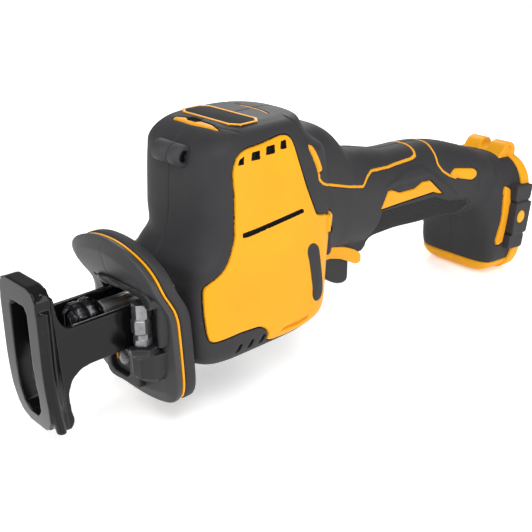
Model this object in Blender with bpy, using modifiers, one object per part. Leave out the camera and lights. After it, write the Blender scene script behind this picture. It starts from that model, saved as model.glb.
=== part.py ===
"""Compact cordless reciprocating saw with a vertical motor, a lofted in-line handle and a rear battery socket.

Metres.  +X points from the shoe to the battery socket, -Y is the tool's left side and +Z is up.
The origin is under the middle of the tool, on the plane it would stand on.
Dimensions below are written in millimetres and scaled once, by MM.
"""

import math

import bmesh
import bpy
from mathutils import Vector

MM = 0.001
GAP = 0.3                    # running gap between neighbouring pieces
SEAM = 0.15                  # half of the gap between the two housing halves

# Levels of the lofted body, measured inwards from the finished outer surface.
SKIN = 0.0                   # outside of the overmould
SKIN_INNER = -1.7            # inside of the overmould
SHELL = -2.0                 # outside of the yellow shell
SHELL_INNER = -4.4           # inside of the yellow shell
PROUD = 0.4                  # how far the yellow panels stand above the overmould

# Tower: height, front X, rear X, half width, squareness.
TOWER = [
    (22.0, -86.0, -32.0, 22.0, 3.0),
    (25.0, -90.0, -25.0, 27.5, 3.4),
    (32.0, -92.4, -19.0, 31.4, 3.8),
    (58.0, -92.4, -15.0, 32.0, 3.6),
    (66.0, -91.0, -13.0, 32.0, 3.4),
    (74.0, -85.0, -11.0, 31.4, 3.0),
    (84.0, -82.5, -8.0, 30.6, 2.8),
    (106.0, -80.5, -5.0, 28.2, 2.8),
    (113.0, -77.0, -9.0, 26.0, 2.8),
    (117.5, -72.0, -18.0, 23.0, 2.8),
    (119.5, -66.0, -28.0, 19.0, 2.8),
]

# Handle: X, top, bottom, half width, squareness.
HANDLE = [
    (-45.0, 104.0, 50.0, 24.0, 2.6),
    (-22.0, 109.0, 46.0, 24.0, 2.6),
    (4.0, 107.0, 44.5, 20.5, 2.5),
    (17.0, 101.5, 42.5, 19.2, 2.4),
    (29.0, 91.5, 41.5, 18.4, 2.4),
    (38.0, 87.5, 42.5, 18.0, 2.4),
    (50.0, 85.5, 42.5, 17.7, 2.4),
    (74.0, 84.6, 40.5, 17.7, 2.4),
    (92.0, 81.8, 39.0, 18.2, 2.4),
    (114.0, 75.5, 36.0, 20.8, 2.6),
    (127.0, 70.5, 29.0, 21.5, 2.8),
]

# Battery socket: distance in front of the rim plane, top, bottom, half width, squareness.
SOCKET_TILT = 0.14           # rim plane: X grows this much per unit of height
SOCKET_X = 144.5             # X of the rim plane at height zero
SOCKET = [
    (30.0, 66.0, 33.0, 18.5, 2.6),
    (23.0, 68.0, 16.0, 23.0, 3.2),
    (18.5, 68.2, 5.0, 25.0, 4.6),
    (9.0, 67.0, 2.0, 27.0, 5.0),
    (0.0, 65.0, 1.05, 28.0, 5.0),
]
RIM_PROUD = 1.2              # yellow rim beyond the overmould
RIM_DEEP = 5.0               # length of that rim
LUG = [(128.0, 62.0), (134.0, 71.0), (142.0, 75.5), (150.0, 75.0), (153.0, 70.0), (152.0, 60.0)]
LUG_HALF = 14.0
TRAY_TOP = 6.5               # the yellow shell shows below this height under the socket

# Yellow zones seen on each side, as (X, Z) outlines.
PANEL = [
    (-74.0, 103.0), (-72.0, 108.5), (-66.0, 111.0), (-50.0, 112.5), (-44.0, 113.0), (-41.0, 108.0),
    (-28.0, 80.0), (-25.0, 72.0), (-20.5, 46.0), (-22.0, 35.0), (-31.0, 30.5), (-55.0, 29.0),
    (-62.0, 34.5), (-84.0, 36.5), (-88.5, 42.0), (-88.5, 60.5), (-84.0, 66.5), (-76.0, 72.0), (-74.0, 81.0),
]
SWITCH_FRAME = [(-17.5, 67.0), (-17.5, 74.5), (-8.0, 72.5), (-6.0, 66.5), (-4.0, 45.5), (-12.0, 46.5), (-14.5, 66.0)]
PANEL_SLOT = [(-68.0, 81.0), (-31.0, 78.0), (-31.0, 79.8), (-68.0, 82.8)]
STRIPE_FRONT = [(-20.0, 103.0), (-17.0, 93.0), (-13.5, 87.0), (20.0, 75.0), (27.0, 81.5), (31.0, 84.0), (60.0, 81.5)]
STRIPE_FRONT_TAB = [(-22.5, 104.5), (-20.0, 105.0), (-15.0, 96.0), (-15.5, 92.5), (-18.5, 94.0)]
STRIPE_REAR = [(79.5, 80.5), (78.5, 76.0), (80.5, 72.5), (88.0, 67.5), (96.0, 63.5)]
STRIPE_REAR_TAB = [(93.5, 62.5), (97.0, 68.0), (111.0, 64.5), (112.0, 60.5), (109.0, 58.0), (98.0, 60.0)]
STRIPE_WIDTH = 1.8
GRIP_FLASH = [(32.0, 61.5), (35.5, 69.0), (41.0, 69.5), (60.0, 67.0), (64.0, 68.5), (69.5, 68.0), (80.0, 60.0),
              (77.5, 59.0), (72.0, 61.5)]
SOCKET_WINDOW = [(124.0, 27.0), (127.5, 26.0), (132.5, 53.0), (129.5, 55.0)]
VENT_X = (-68.0, -61.5, -54.5, -47.5)
VENT_Z = 105.5

# Guard around the nose: (Y, Z) outline of one half, top to bottom, and its S-shaped side profile.
GUARD_HALF = [
    (0.0, 83.5), (10.0, 83.3), (18.0, 82.0), (24.5, 78.5), (28.0, 72.5), (28.8, 66.0), (28.6, 60.0),
    (29.4, 54.0), (30.2, 44.0), (30.4, 26.0), (28.5, 18.5), (20.0, 13.6), (10.0, 10.6), (0.0, 9.6),
]
GUARD_PROFILE = [(9.0, -103.0), (48.0, -103.0), (53.0, -103.8), (58.0, -106.4), (63.0, -109.8), (68.0, -112.2),
                 (76.0, -113.8), (84.0, -115.2)]
GUARD_LAYERS = {"guard_front": (0.0, 4.2), "guard_band": (4.5, 5.7), "guard_rear": (6.0, 10.2)}

# Shoe.
SHOE_FRONT = -153.6
SHOE_BACK = -145.0
SHOE_HALF = 12.0
SHOE_OUTLINE = [(9.0, 72.5), (12.0, 68.5), (12.0, 38.0), (11.0, 24.0), (8.5, 16.5), (5.0, 14.0)]
SHOE_SLOT = [(3.6, 62.5), (5.4, 60.0), (5.4, 38.0), (4.4, 26.0), (2.4, 20.5)]
ARM_TOP = 55.3
ARM_BOTTOM = 37.0
ARM_WALL = 2.4
PIVOT = (-100.5, 43.5)       # X and Z of the shoe's pivot

# Drive line.
SHAFT_Z = 51.0
SHAFT_R = 4.5
STROKE = 16.0
CLAMP_FRONT = -134.0
CLAMP_BACK = -119.0
CRANK_R = STROKE / 2.0
YOKE_HALF = 4.4
GEAR_TEETH = 36
PINION_TEETH = 8
TOOTH = 0.62                 # gear module
MOTOR_X = -54.0
GEAR_X = MOTOR_X + TOOTH * (GEAR_TEETH + PINION_TEETH) / 2.0
LEVER = (-110.7, -17.4)      # X and Y of the clamp lever's post

BOSS = (-79.0, 107.0)        # X and Z of the round boss across the tower's front edge
BOSS_R = 5.6
BOSS_END = 15.0
SCREWS = [(-29.5, 98.0), (4.0, 97.0), (70.0, 76.5), (56.0, 49.0), (98.0, 67.0), (-84.5, 33.5), (-26.5, 34.0)]
SCREW_R = 1.8
SCREW_REACH = 9.0            # the screws' heads and tips stop this far from the seam
NOSE_OPENING = ((-120.0, -70.0), (-16.0, 16.0), (34.5, 61.5))

# Trigger and its bezel.
TRIGGER_X = (4.0, 21.5)
TRIGGER_HALF = 8.0
BEZEL = [(-0.5, 42.5), (-0.5, 49.0), (6.0, 48.5), (14.0, 46.0), (23.0, 41.5), (26.0, 38.5), (25.5, 34.5),
         (21.0, 34.5), (11.0, 39.5)]
BEZEL_HALF = 12.5
LOCK_X = (-13.0, -8.4)
LOCK_Z = (48.0, 61.0)
LOCK_HALF = 21.0
PAD = [(-33.0, 65.0), (-29.5, 66.5), (-26.5, 64.0), (-23.0, 44.0), (-24.5, 40.0), (-28.0, 39.5), (-30.5, 45.0)]
BUMPER = [(139.0, 20.0), (146.5, 20.0), (151.5, 48.0), (149.0, 54.0), (143.5, 54.0), (141.5, 50.0)]
NAMEPLATE = ((-61.0, -45.5), (-18.0, 18.0), (118.4, 120.2))


def collection(name, hidden=False):
    made = bpy.data.collections.new(name)
    bpy.context.scene.collection.children.link(made)
    made.hide_render = hidden
    return made


for old in list(bpy.data.objects):
    bpy.data.objects.remove(old, do_unlink=True)
SAW = collection("reciprocating_saw")


# ---------------------------------------------------------------- solids

def solid(name, verts, faces):
    """A closed mesh object from millimetre points, with its faces turned outwards."""
    mesh = bpy.data.meshes.new(name)
    mesh.from_pydata([Vector(v) * MM for v in verts], [], faces)
    bm = bmesh.new()
    bm.from_mesh(mesh)
    bmesh.ops.remove_doubles(bm, verts=bm.verts, dist=1e-7)
    bmesh.ops.recalc_face_normals(bm, faces=bm.faces)
    bm.to_mesh(mesh)
    bm.free()
    obj = bpy.data.objects.new(name, mesh)
    SAW.objects.link(obj)
    return obj


def loft(name, rings):
    """Skin through rings that have the same number of points, capped at both ends."""
    count = len(rings[0])
    verts = [p for ring in rings for p in ring]
    faces = [list(range(count)), list(range(len(verts) - count, len(verts)))]
    for level in range(len(rings) - 1):
        low = level * count
        for i in range(count):
            j = (i + 1) % count
            faces.append((low + i, low + j, low + count + j, low + count + i))
    return solid(name, verts, faces)


def prism(name, outline, low, high, along="Y"):
    """An outline extruded along one axis; the outline's own axes are the other two, in X, Y, Z order."""
    def place(point, t):
        a, b = point
        return {"X": (t, a, b), "Y": (a, t, b), "Z": (a, b, t)}[along]
    return loft(name, [[place(p, low) for p in outline], [place(p, high) for p in outline]])


def box(name, x, y, z):
    return prism(name, [(x[0], y[0]), (x[1], y[0]), (x[1], y[1]), (x[0], y[1])], z[0], z[1], "Z")


def lathe(name, profile, centre, along="X", sides=24, turn=0.0):
    """A closed (radius, distance) profile turned about an axis through centre."""
    rings = []
    for step in range(sides):
        angle = 2.0 * math.pi * step / sides + math.radians(turn)
        c, s = math.cos(angle), math.sin(angle)
        ring = []
        for r, t in profile:
            offset = {"X": (t, r * c, r * s), "Y": (r * c, t, r * s), "Z": (r * c, r * s, t)}[along]
            ring.append(tuple(a + b for a, b in zip(centre, offset)))
        rings.append(ring)
    count = len(profile)
    verts = [p for ring in rings for p in ring]
    faces = []
    for step in range(sides):
        here, there = step * count, ((step + 1) % sides) * count
        for i in range(count):
            j = (i + 1) % count
            if profile[i][0] == 0.0 and profile[j][0] == 0.0:
                continue
            quad = [here + i, here + j, there + j, there + i]
            if profile[i][0] == 0.0:
                quad.remove(there + i)
            if profile[j][0] == 0.0:
                quad.remove(there + j)
            faces.append(quad)
    return solid(name, verts, faces)


def rod(name, r, low, high, centre, along="X", sides=20, edge=0.0):
    """A solid round bar with chamfered ends."""
    if edge:
        profile = [(0.0, low), (r - edge, low), (r, low + edge), (r, high - edge), (r - edge, high), (0.0, high)]
    else:
        profile = [(0.0, low), (r, low), (r, high), (0.0, high)]
    return lathe(name, profile, centre, along, sides)


def ring(name, r_in, r_out, low, high, centre, along="X", sides=24):
    return lathe(name, [(r_in, low), (r_out, low), (r_out, high), (r_in, high)], centre, along, sides)


def combine(obj, other, operation):
    """Boolean the other solid into obj, keep the result and drop the other solid."""
    modifier = obj.modifiers.new(operation.lower(), "BOOLEAN")
    modifier.operation = operation
    modifier.solver = "EXACT"
    modifier.object = other
    graph = bpy.context.evaluated_depsgraph_get()
    result = bpy.data.meshes.new_from_object(obj.evaluated_get(graph), depsgraph=graph)
    obj.modifiers.clear()
    obj.data = result
    bpy.data.objects.remove(other, do_unlink=True)
    tidy(obj)
    return obj


def tidy(obj):
    """Merge the crumbs a Boolean leaves on its cut lines and keep the faces triangular for the next one."""
    bm = bmesh.new()
    bm.from_mesh(obj.data)
    bmesh.ops.remove_doubles(bm, verts=bm.verts, dist=1e-6)
    bmesh.ops.dissolve_degenerate(bm, edges=bm.edges, dist=1e-6)
    bmesh.ops.triangulate(bm, faces=bm.faces)
    bm.to_mesh(obj.data)
    bm.free()


def merge_flat(obj):
    """Join the flat triangles of a finished solid into larger faces, wherever it stays closed."""
    bm = bmesh.new()
    bm.from_mesh(obj.data)
    bmesh.ops.dissolve_limit(bm, angle_limit=math.radians(1.0), verts=bm.verts, edges=bm.edges)
    bmesh.ops.triangulate(bm, faces=bm.faces)
    if all(len(edge.link_faces) == 2 for edge in bm.edges):
        bm.to_mesh(obj.data)
    bm.free()


def cut(obj, *others):
    for other in others:
        combine(obj, other, "DIFFERENCE")
    return obj


def join(obj, *others):
    for other in others:
        combine(obj, other, "UNION")
    return obj


def meet(obj, other):
    return combine(obj, other, "INTERSECT")


def twin(obj, name):
    """The mirror image of a solid on the tool's right side."""
    mesh = obj.data.copy()
    bm = bmesh.new()
    bm.from_mesh(mesh)
    bmesh.ops.scale(bm, vec=(1.0, -1.0, 1.0), verts=bm.verts)
    bmesh.ops.reverse_faces(bm, faces=bm.faces)
    bm.to_mesh(mesh)
    bm.free()
    copy = bpy.data.objects.new(name, mesh)
    SAW.objects.link(copy)
    return copy


def soften(obj, width, segments=1):
    """Bevel the sharp edges of a simple solid."""
    modifier = obj.modifiers.new("edge", "BEVEL")
    modifier.width = width * MM
    modifier.segments = segments
    modifier.limit_method = "ANGLE"
    modifier.angle_limit = math.radians(40.0)
    graph = bpy.context.evaluated_depsgraph_get()
    result = bpy.data.meshes.new_from_object(obj.evaluated_get(graph), depsgraph=graph)
    obj.modifiers.clear()
    obj.data = result
    return obj


# ---------------------------------------------------------------- outlines

def grown(outline, by):
    """The outline moved outwards by a distance (inwards when negative)."""
    area = sum(a[0] * b[1] - b[0] * a[1] for a, b in zip(outline, outline[1:] + outline[:1]))
    side = math.copysign(1.0, area)
    moved = []
    for i, point in enumerate(outline):
        p, before, after = Vector(point), Vector(outline[i - 1]), Vector(outline[(i + 1) % len(outline)])
        first, second = (p - before).normalized(), (after - p).normalized()
        n1, n2 = Vector((first.y, -first.x)) * side, Vector((second.y, -second.x)) * side
        middle = (n1 + n2).normalized()
        moved.append(tuple(p + middle * (by / max(middle.dot(n1), 0.4))))
    return moved


def ribbon(spine, width):
    """Outline of a stripe of constant width along a spine."""
    left, right = [], []
    for i, point in enumerate(spine):
        p = Vector(point)
        before = Vector(spine[i - 1]) if i else p - (Vector(spine[1]) - p)
        after = Vector(spine[i + 1]) if i + 1 < len(spine) else p + (p - before)
        first, second = (p - before).normalized(), (after - p).normalized()
        normal = Vector((-first.y - second.y, first.x + second.x)).normalized()
        reach = width / 2.0 / max(normal.dot(Vector((-first.y, first.x))), 0.5)
        left.append(tuple(p + normal * reach))
        right.append(tuple(p - normal * reach))
    return left + right[::-1]


def superellipse(half_x, half_y, power, count=20):
    """Points round a rounded rectangle about the origin."""
    points = []
    for i in range(count):
        angle = 2.0 * math.pi * (i + 0.5) / count
        c, s = math.cos(angle), math.sin(angle)
        points.append((
            half_x * math.copysign(abs(c) ** (2.0 / power), c),
            half_y * math.copysign(abs(s) ** (2.0 / power), s),
        ))
    return points


# ---------------------------------------------------------------- the body

def tower(grow):
    bottom, top = TOWER[0][0], TOWER[-1][0]
    rings = []
    for z, front, rear, half, power in TOWER:
        share = max(0.0, 1.0 - (top - z) / 18.0) - max(0.0, 1.0 - (z - bottom) / 9.0)
        middle, reach = (front + rear) / 2.0, (rear - front) / 2.0 + grow
        rings.append([(middle + a, b, z + grow * share) for a, b in superellipse(reach, half + grow, power)])
    return loft("tower", rings)


def handle(grow):
    rings = []
    for x, top, bottom, half, power in HANDLE[:-1] + [(HANDLE[-1][0] + grow, *HANDLE[-1][1:])]:
        middle, reach = (top + bottom) / 2.0, (top - bottom) / 2.0 + grow
        rings.append([(x, a, middle + b) for a, b in superellipse(half + grow, reach, power)])
    return loft("handle", rings)


def cup(name, sections, grow=0.0):
    """Loft through sections that lie parallel to the socket's tilted rim plane."""
    rings = []
    for s, top, bottom, half, power in sections:
        middle, reach = (top + bottom) / 2.0, (top - bottom) / 2.0 + grow
        rings.append([(SOCKET_X + SOCKET_TILT * (middle + b) - s, a, middle + b)
                      for a, b in superellipse(half + grow, reach, power)])
    return loft(name, rings)


def socket(grow, rear=0.0):
    """The rear cup, with its last section moved to a distance in front of the rim plane."""
    return cup("socket", SOCKET[:-1] + [(rear, *SOCKET[-1][1:])], grow)


def body(name, grow, rear=0.0):
    """Tower, handle and battery socket in one solid, offset from the finished surface."""
    whole = join(tower(grow), handle(grow), socket(grow, rear))
    whole.name = name
    return whole


def socket_hollow():
    """The pocket that takes the battery, open to the rear."""
    return cup("socket_hollow", [(24.0, 60.0, 16.0, 18.0, 3.0), (16.0, 61.5, 7.0, 22.5, 4.5),
                                 (-8.0, 60.5, 4.6, 24.2, 5.0)])


def zones(by, low=-60.0, high=-3.0):
    """Prisms through the yellow areas of the left side."""
    outlines = [PANEL, SWITCH_FRAME, ribbon(STRIPE_FRONT, STRIPE_WIDTH), STRIPE_FRONT_TAB,
                ribbon(STRIPE_REAR, STRIPE_WIDTH), STRIPE_REAR_TAB, GRIP_FLASH, SOCKET_WINDOW]
    whole = None
    for outline in outlines:
        piece = prism("zone", grown(outline, by), low, high)
        whole = piece if whole is None else join(whole, piece)
    return whole


def left_half(name):
    return box(name, (-200.0, 200.0), (-90.0, -SEAM), (-20.0, 160.0))


def slab(name, outline, grow_in, grow_out, maker, low=-60.0, high=-5.0):
    """The part of a skin between two body levels that lies inside a side outline."""
    piece = meet(prism(name, outline, low, high), maker(grow_out))
    return cut(piece, maker(grow_in))


# ---------------------------------------------------------------- shells

def rear_boss():
    """The raised lug on top of the rim, with a shallow channel between its two lobes."""
    block = soften(prism("lug", LUG, -LUG_HALF, LUG_HALF), 1.5)
    return cut(block, box("channel", (120.0, 160.0), (-8.0, 8.0), (71.0, 90.0)))


def open_controls(solid_body):
    """Holes for the trigger, its bezel and the lock-off button."""
    cut(solid_body, prism("bezel_seat", grown(BEZEL, GAP), -BEZEL_HALF - GAP, BEZEL_HALF + GAP))
    cut(solid_body, box("trigger_well", (TRIGGER_X[0] - GAP, TRIGGER_X[1] + GAP),
                        (-TRIGGER_HALF - GAP, TRIGGER_HALF + GAP), (20.0, 55.2)))
    cut(solid_body, box("lock_well", (LOCK_X[0] - GAP, LOCK_X[1] + GAP), (-60.0, 3.0),
                        (LOCK_Z[0] - GAP, LOCK_Z[1] + GAP)))


def shell_half():
    """The yellow left half before its fastener holes."""
    shell = body("housing_left", SHELL, 0.8)
    join(shell, meet(zones(0.0), body("proud", PROUD)))
    rim = cup("rim", [(RIM_DEEP, 66.0, 1.4, 27.5, 5.0), (0.0, 65.0, 1.05, 28.0, 5.0)], RIM_PROUD)
    tray = meet(socket(0.0, 1.4), box("below", (100.0, 170.0), (-40.0, 40.0), (-5.0, TRAY_TOP)))
    join(shell, rim, tray, rear_boss())
    cut(shell, body("hollow", SHELL_INNER, 3.0), socket_hollow())
    for x, z in [BOSS] + SCREWS:
        join(shell, meet(rod("column", 4.0, -60.0, 1.0, (x, 0.0, z), "Y", 12), body("inside", SHELL - 0.6)))
    cut(shell, box("opening", *NOSE_OPENING))
    cut(shell, prism("slot", PANEL_SLOT, -60.0, -20.0))
    for x in VENT_X:
        cut(shell, box("vent", (x, x + 3.2), (-60.0, -15.0), (VENT_Z, VENT_Z + 4.0)))
    open_controls(shell)
    return meet(shell, left_half("half"))


def overmould_half():
    """The black rubber skin of the left half."""
    skin = body("overmould_left", SKIN)
    join(skin, lathe("boss", [(0.0, -BOSS_END), (BOSS_R - 0.8, -BOSS_END), (BOSS_R, -BOSS_END + 0.8), (BOSS_R, 0.0),
                              (0.0, 0.0)], (BOSS[0], 0.0, BOSS[1]), "Y", 16))
    cut(skin, body("core", SKIN_INNER, -3.0))
    cut(skin, zones(GAP + 0.05, -60.0, -2.6))
    behind = RIM_DEEP + GAP
    rim_space = prism("rim_space", [(SOCKET_X - behind + SOCKET_TILT * z, z) for z in (-10.0, 90.0)]
                      + [(190.0, 90.0), (190.0, -10.0)], -50.0, 50.0)
    cut(skin, rim_space)
    cut(skin, box("tray_space", (100.0, 170.0), (-40.0, 40.0), (-10.0, TRAY_TOP + GAP)))
    cut(skin, prism("lug_space", grown(LUG, GAP + 0.1), -LUG_HALF - GAP, LUG_HALF + GAP))
    cut(skin, box("opening", *NOSE_OPENING))
    open_controls(skin)
    (x0, x1), (y0, y1), (z0, z1) = NAMEPLATE
    cut(skin, box("plate_pocket", (x0 - GAP, x1 + GAP), (y0 - GAP, y1 + GAP), (z0 - GAP, z1 + 5.0)))
    for x in (-67.0, -30.5):
        cut(skin, box("top_slit", (x, x + 2.2), (-14.0, 14.0), (114.0, 125.0)))
    return meet(skin, left_half("half"))


def drill(left, right, at, head_on_left, reach=SCREW_REACH):
    """Cut one screw's hole through both halves and its head's recess in one of them."""
    centre = (at[0], 0.0, at[1])
    cut(left, rod("hole", SCREW_R + GAP, -reach - 0.4, 5.0, centre, "Y", 12))
    cut(right, rod("hole", SCREW_R + GAP, -5.0, reach + 0.4, centre, "Y", 12))
    if head_on_left:
        cut(left, rod("recess", 3.4, -60.0, -reach, centre, "Y", 12))
    else:
        cut(right, rod("recess", 3.4, reach, 60.0, centre, "Y", 12))


def screw(name, at, head_on_left, reach=SCREW_REACH):
    side = -1.0 if head_on_left else 1.0
    profile = [(0.0, -reach), (SCREW_R, -reach), (SCREW_R, reach), (3.0, reach), (3.0, reach + 2.0), (1.2, reach + 2.0),
               (1.2, reach + 0.8), (0.0, reach + 0.8)]
    return lathe(name, [(r, side * t) for r, t in profile], (at[0], 0.0, at[1]), "Y", 12)


def make_housing():
    shell_left, skin_left = shell_half(), overmould_half()
    shell_right, skin_right = twin(shell_left, "housing_right"), twin(skin_left, "overmould_right")
    drill(shell_left, shell_right, BOSS, True)
    drill(skin_left, skin_right, BOSS, True)
    screw("screw_front", BOSS, True)
    for number, at in enumerate(SCREWS, 1):
        drill(shell_left, shell_right, at, False)
        cut(skin_right, rod("recess", 3.4, SCREW_REACH, 60.0, (at[0], 0.0, at[1]), "Y", 12))
        screw(f"screw_{number}", at, False)


def make_trim():
    """Rubber pads, bumpers and their dots, and the blank plate on top."""
    pad = slab("side_pad_left", PAD, PROUD + GAP, 2.0, tower)
    twin(pad, "side_pad_right")
    bumper = slab("side_bumper_left", BUMPER, RIM_PROUD + GAP, 3.2, lambda grow: socket(grow, -2.0 if grow < 2 else 0.0))
    for z in (30.0, 44.0):
        cut(bumper, box("groove", (130.0, 160.0), (-40.0, -30.6), (z, z + 0.6)))
    cut(bumper, rod("dot_hole", 2.9, -40.0, -20.0, (146.0, 0.0, 37.0), "Y", 14))
    twin(bumper, "side_bumper_right")
    dot = rod("bumper_dot_left", 2.5, -31.6, -29.6, (146.0, 0.0, 37.0), "Y", 14, 0.4)
    twin(dot, "bumper_dot_right")
    soften(box("nameplate", *NAMEPLATE), 0.4)


# ---------------------------------------------------------------- nose

def guard_x(z):
    """X of the guard's front surface at a height."""
    points = GUARD_PROFILE
    for (z0, x0), (z1, x1) in zip(points, points[1:]):
        if z <= z1:
            return x0 + (x1 - x0) * max(z - z0, 0.0) / (z1 - z0)
    return points[-1][1]


def guard_layer(name, near, far):
    """One sheet of the guard, bent to the side profile, with the nose opening through it."""
    inset = 0.8 if name == "guard_band" else 0.0
    half = grown([(-y, z) for y, z in GUARD_HALF[1:-1]][::-1] + GUARD_HALF, -inset)
    sheet = prism(name, half, near, far, "X")
    (_, (y0, y1), (z0, z1)) = NOSE_OPENING
    cut(sheet, box("opening", (-50.0, 50.0), (y0, y1), (z0, z1)))
    bm = bmesh.new()
    bm.from_mesh(sheet.data)
    for z, _ in GUARD_PROFILE[1:-1]:
        bmesh.ops.bisect_plane(bm, geom=bm.verts[:] + bm.edges[:] + bm.faces[:], plane_co=(0.0, 0.0, z * MM),
                               plane_no=(0.0, 0.0, 1.0), dist=1e-6)
    for vert in bm.verts:
        vert.co.x += guard_x(vert.co.z / MM) * MM
    bmesh.ops.triangulate(bm, faces=bm.faces)
    bm.to_mesh(sheet.data)
    bm.free()
    return sheet


def make_nose():
    for name, (near, far) in GUARD_LAYERS.items():
        guard_layer(name, near, far)
    hood = prism("nose_block", [(-25.0, 58.0), (-23.0, 63.5), (-12.0, 66.6), (0.0, 67.2), (12.0, 66.6), (23.0, 63.5),
                                (25.0, 58.0), (20.5, 60.2), (11.0, 62.2), (0.0, 62.8), (-11.0, 62.2), (-20.5, 60.2)],
                 -116.0, -102.0, "X")
    join(hood, box("base", (-105.2, -102.5), (-24.8, 24.8), (13.8, 62.0)))
    for sign in (-1.0, 1.0):
        join(hood, box("leg", (-110.5, -102.5), sorted((sign * 21.5, sign * 24.6)), (44.0, 61.8)))
    join(hood, box("lamp_box", (-107.6, -103.0), (-11.0, 19.5), (14.2, 35.5)))
    step = prism("step", [(-115.0, -14.5), (-114.0, -22.0), (-103.0, -24.5), (-103.0, -12.6), (-113.0, -12.6)],
                 14.6, 36.5, "Z")
    join(hood, soften(step, 0.8))
    join(hood, rod("pedestal", 4.6, 30.0, 40.2, (LEVER[0], LEVER[1], 0.0), "Z", 6))
    cut(hood, box("opening", *NOSE_OPENING))
    cut(hood, box("lamp_recess", (-120.0, -104.9), (2.5, 16.5), (17.0, 32.0)))
    behind = [(guard_x(z) - GAP, z) for z, _ in GUARD_PROFILE]
    behind[0] = (behind[0][0], -5.0)
    cut(hood, prism("guard_space", behind + [(-80.0, 90.0), (-80.0, -5.0)], -60.0, 60.0))
    rod("lamp_lens", 3.2, -107.0, -105.2, (0.0, 8.5, 24.5), "X", 16, 0.6)
    post = [(0.0, 40.6), (3.3, 40.6), (3.6, 44.0), (2.9, 44.8), (3.4, 46.2), (3.4, 51.2), (2.8, 52.2), (3.7, 53.4),
            (3.7, 57.0), (3.1, 58.0), (0.0, 58.0)]
    lathe("clamp_lever", post, (LEVER[0], LEVER[1], 0.0), "Z", 8, 22.5)


def make_shoe():
    ring_half = SHOE_OUTLINE
    outline = [(-y, z) for y, z in ring_half[::-1]] + ring_half
    shoe = soften(prism("shoe", outline, SHOE_FRONT, SHOE_BACK, "X"), 1.6, 2)
    slot = [(-y, z) for y, z in SHOE_SLOT[::-1]] + SHOE_SLOT
    side = [(-146.0, 15.5), (-142.5, 13.8), (-140.6, 15.0), (-140.4, 18.5), (-142.4, 22.5), (-142.0, 29.0),
            (-139.0, 34.5), (-133.0, ARM_BOTTOM), (PIVOT[0], ARM_BOTTOM), (-97.4, 39.5), (-97.4, 53.0),
            (-99.5, ARM_TOP), (-140.0, ARM_TOP), (-143.0, 59.0), (-145.0, 66.0), (-146.5, 66.0)]
    for sign in (-1.0, 1.0):
        join(shoe, prism("arm", side, sign * (SHOE_HALF - ARM_WALL), sign * SHOE_HALF))
    join(shoe, box("floor", (-143.0, -104.0), (-SHOE_HALF + 1.0, SHOE_HALF - 1.0), (ARM_BOTTOM, ARM_BOTTOM + 2.2)))
    cut(shoe, prism("slot", slot, -160.0, -140.0, "X"))
    cut(shoe, rod("pin_hole", 2.35, -20.0, 20.0, (PIVOT[0], 0.0, PIVOT[1]), "Y", 16))
    rod("shoe_pivot_pin", 2.3, -15.0, 15.0, (PIVOT[0], 0.0, PIVOT[1]), "Y", 16, 0.4)


# ---------------------------------------------------------------- drive line

def toothed(name, teeth, low, high, centre, first, bore=0.0):
    """A spur gear with plain straight-sided teeth; first is the angle of a tooth's centre in degrees."""
    pitch = TOOTH * teeth / 2.0
    step = 2.0 * math.pi / teeth
    outline = []
    for i in range(teeth):
        middle = math.radians(first) + i * step
        for r, offset in ((pitch - 0.75, -0.24), (pitch + 0.3, -0.10), (pitch + 0.3, 0.10), (pitch - 0.75, 0.24)):
            angle = middle + offset * step
            outline.append((centre[0] + r * math.cos(angle), centre[1] + r * math.sin(angle)))
    gear = prism(name, outline, low, high, "Z")
    if bore:
        cut(gear, rod("bore", bore, low - 2.0, high + 2.0, (*centre, 0.0), "Z", 16))
    return gear


def oval(name, reach, half, low, high, centre_x=-53.5):
    return prism(name, [(centre_x + a, b) for a, b in superellipse(reach, half, 3.4, 24)], low, high, "Z")


def make_gearcase():
    case = oval("gearcase", 30.0, 25.0, 42.0, 69.0)
    cut(case, oval("inside", 28.0, 22.8, 44.5, 75.0))
    join(case, box("nose", (-95.0, -79.0), (-15.2, 15.2), (38.5, 59.6)))
    for sign in (-1.0, 1.0):
        join(case, box("ear", (-103.8, -94.0), sorted((sign * 12.7, sign * 15.2)), (39.5, 47.5)))
    cut(case, rod("bore", 7.3, -99.0, -75.0, (0.0, 0.0, SHAFT_Z), "X", 24))
    cut(case, rod("pin_hole", 2.35, -20.0, 20.0, (PIVOT[0], 0.0, PIVOT[1]), "Y", 16))
    cover = oval("gearcase_cover", 26.5, 22.0, 69.3, 72.3, -52.0)
    cut(cover, rod("seat", 6.3, 60.0, 80.0, (MOTOR_X, 0.0, 0.0), "Z", 20))
    cut(cover, rod("axle_hole", 2.55, 60.0, 80.0, (GEAR_X, 0.0, 0.0), "Z", 16))


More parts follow.
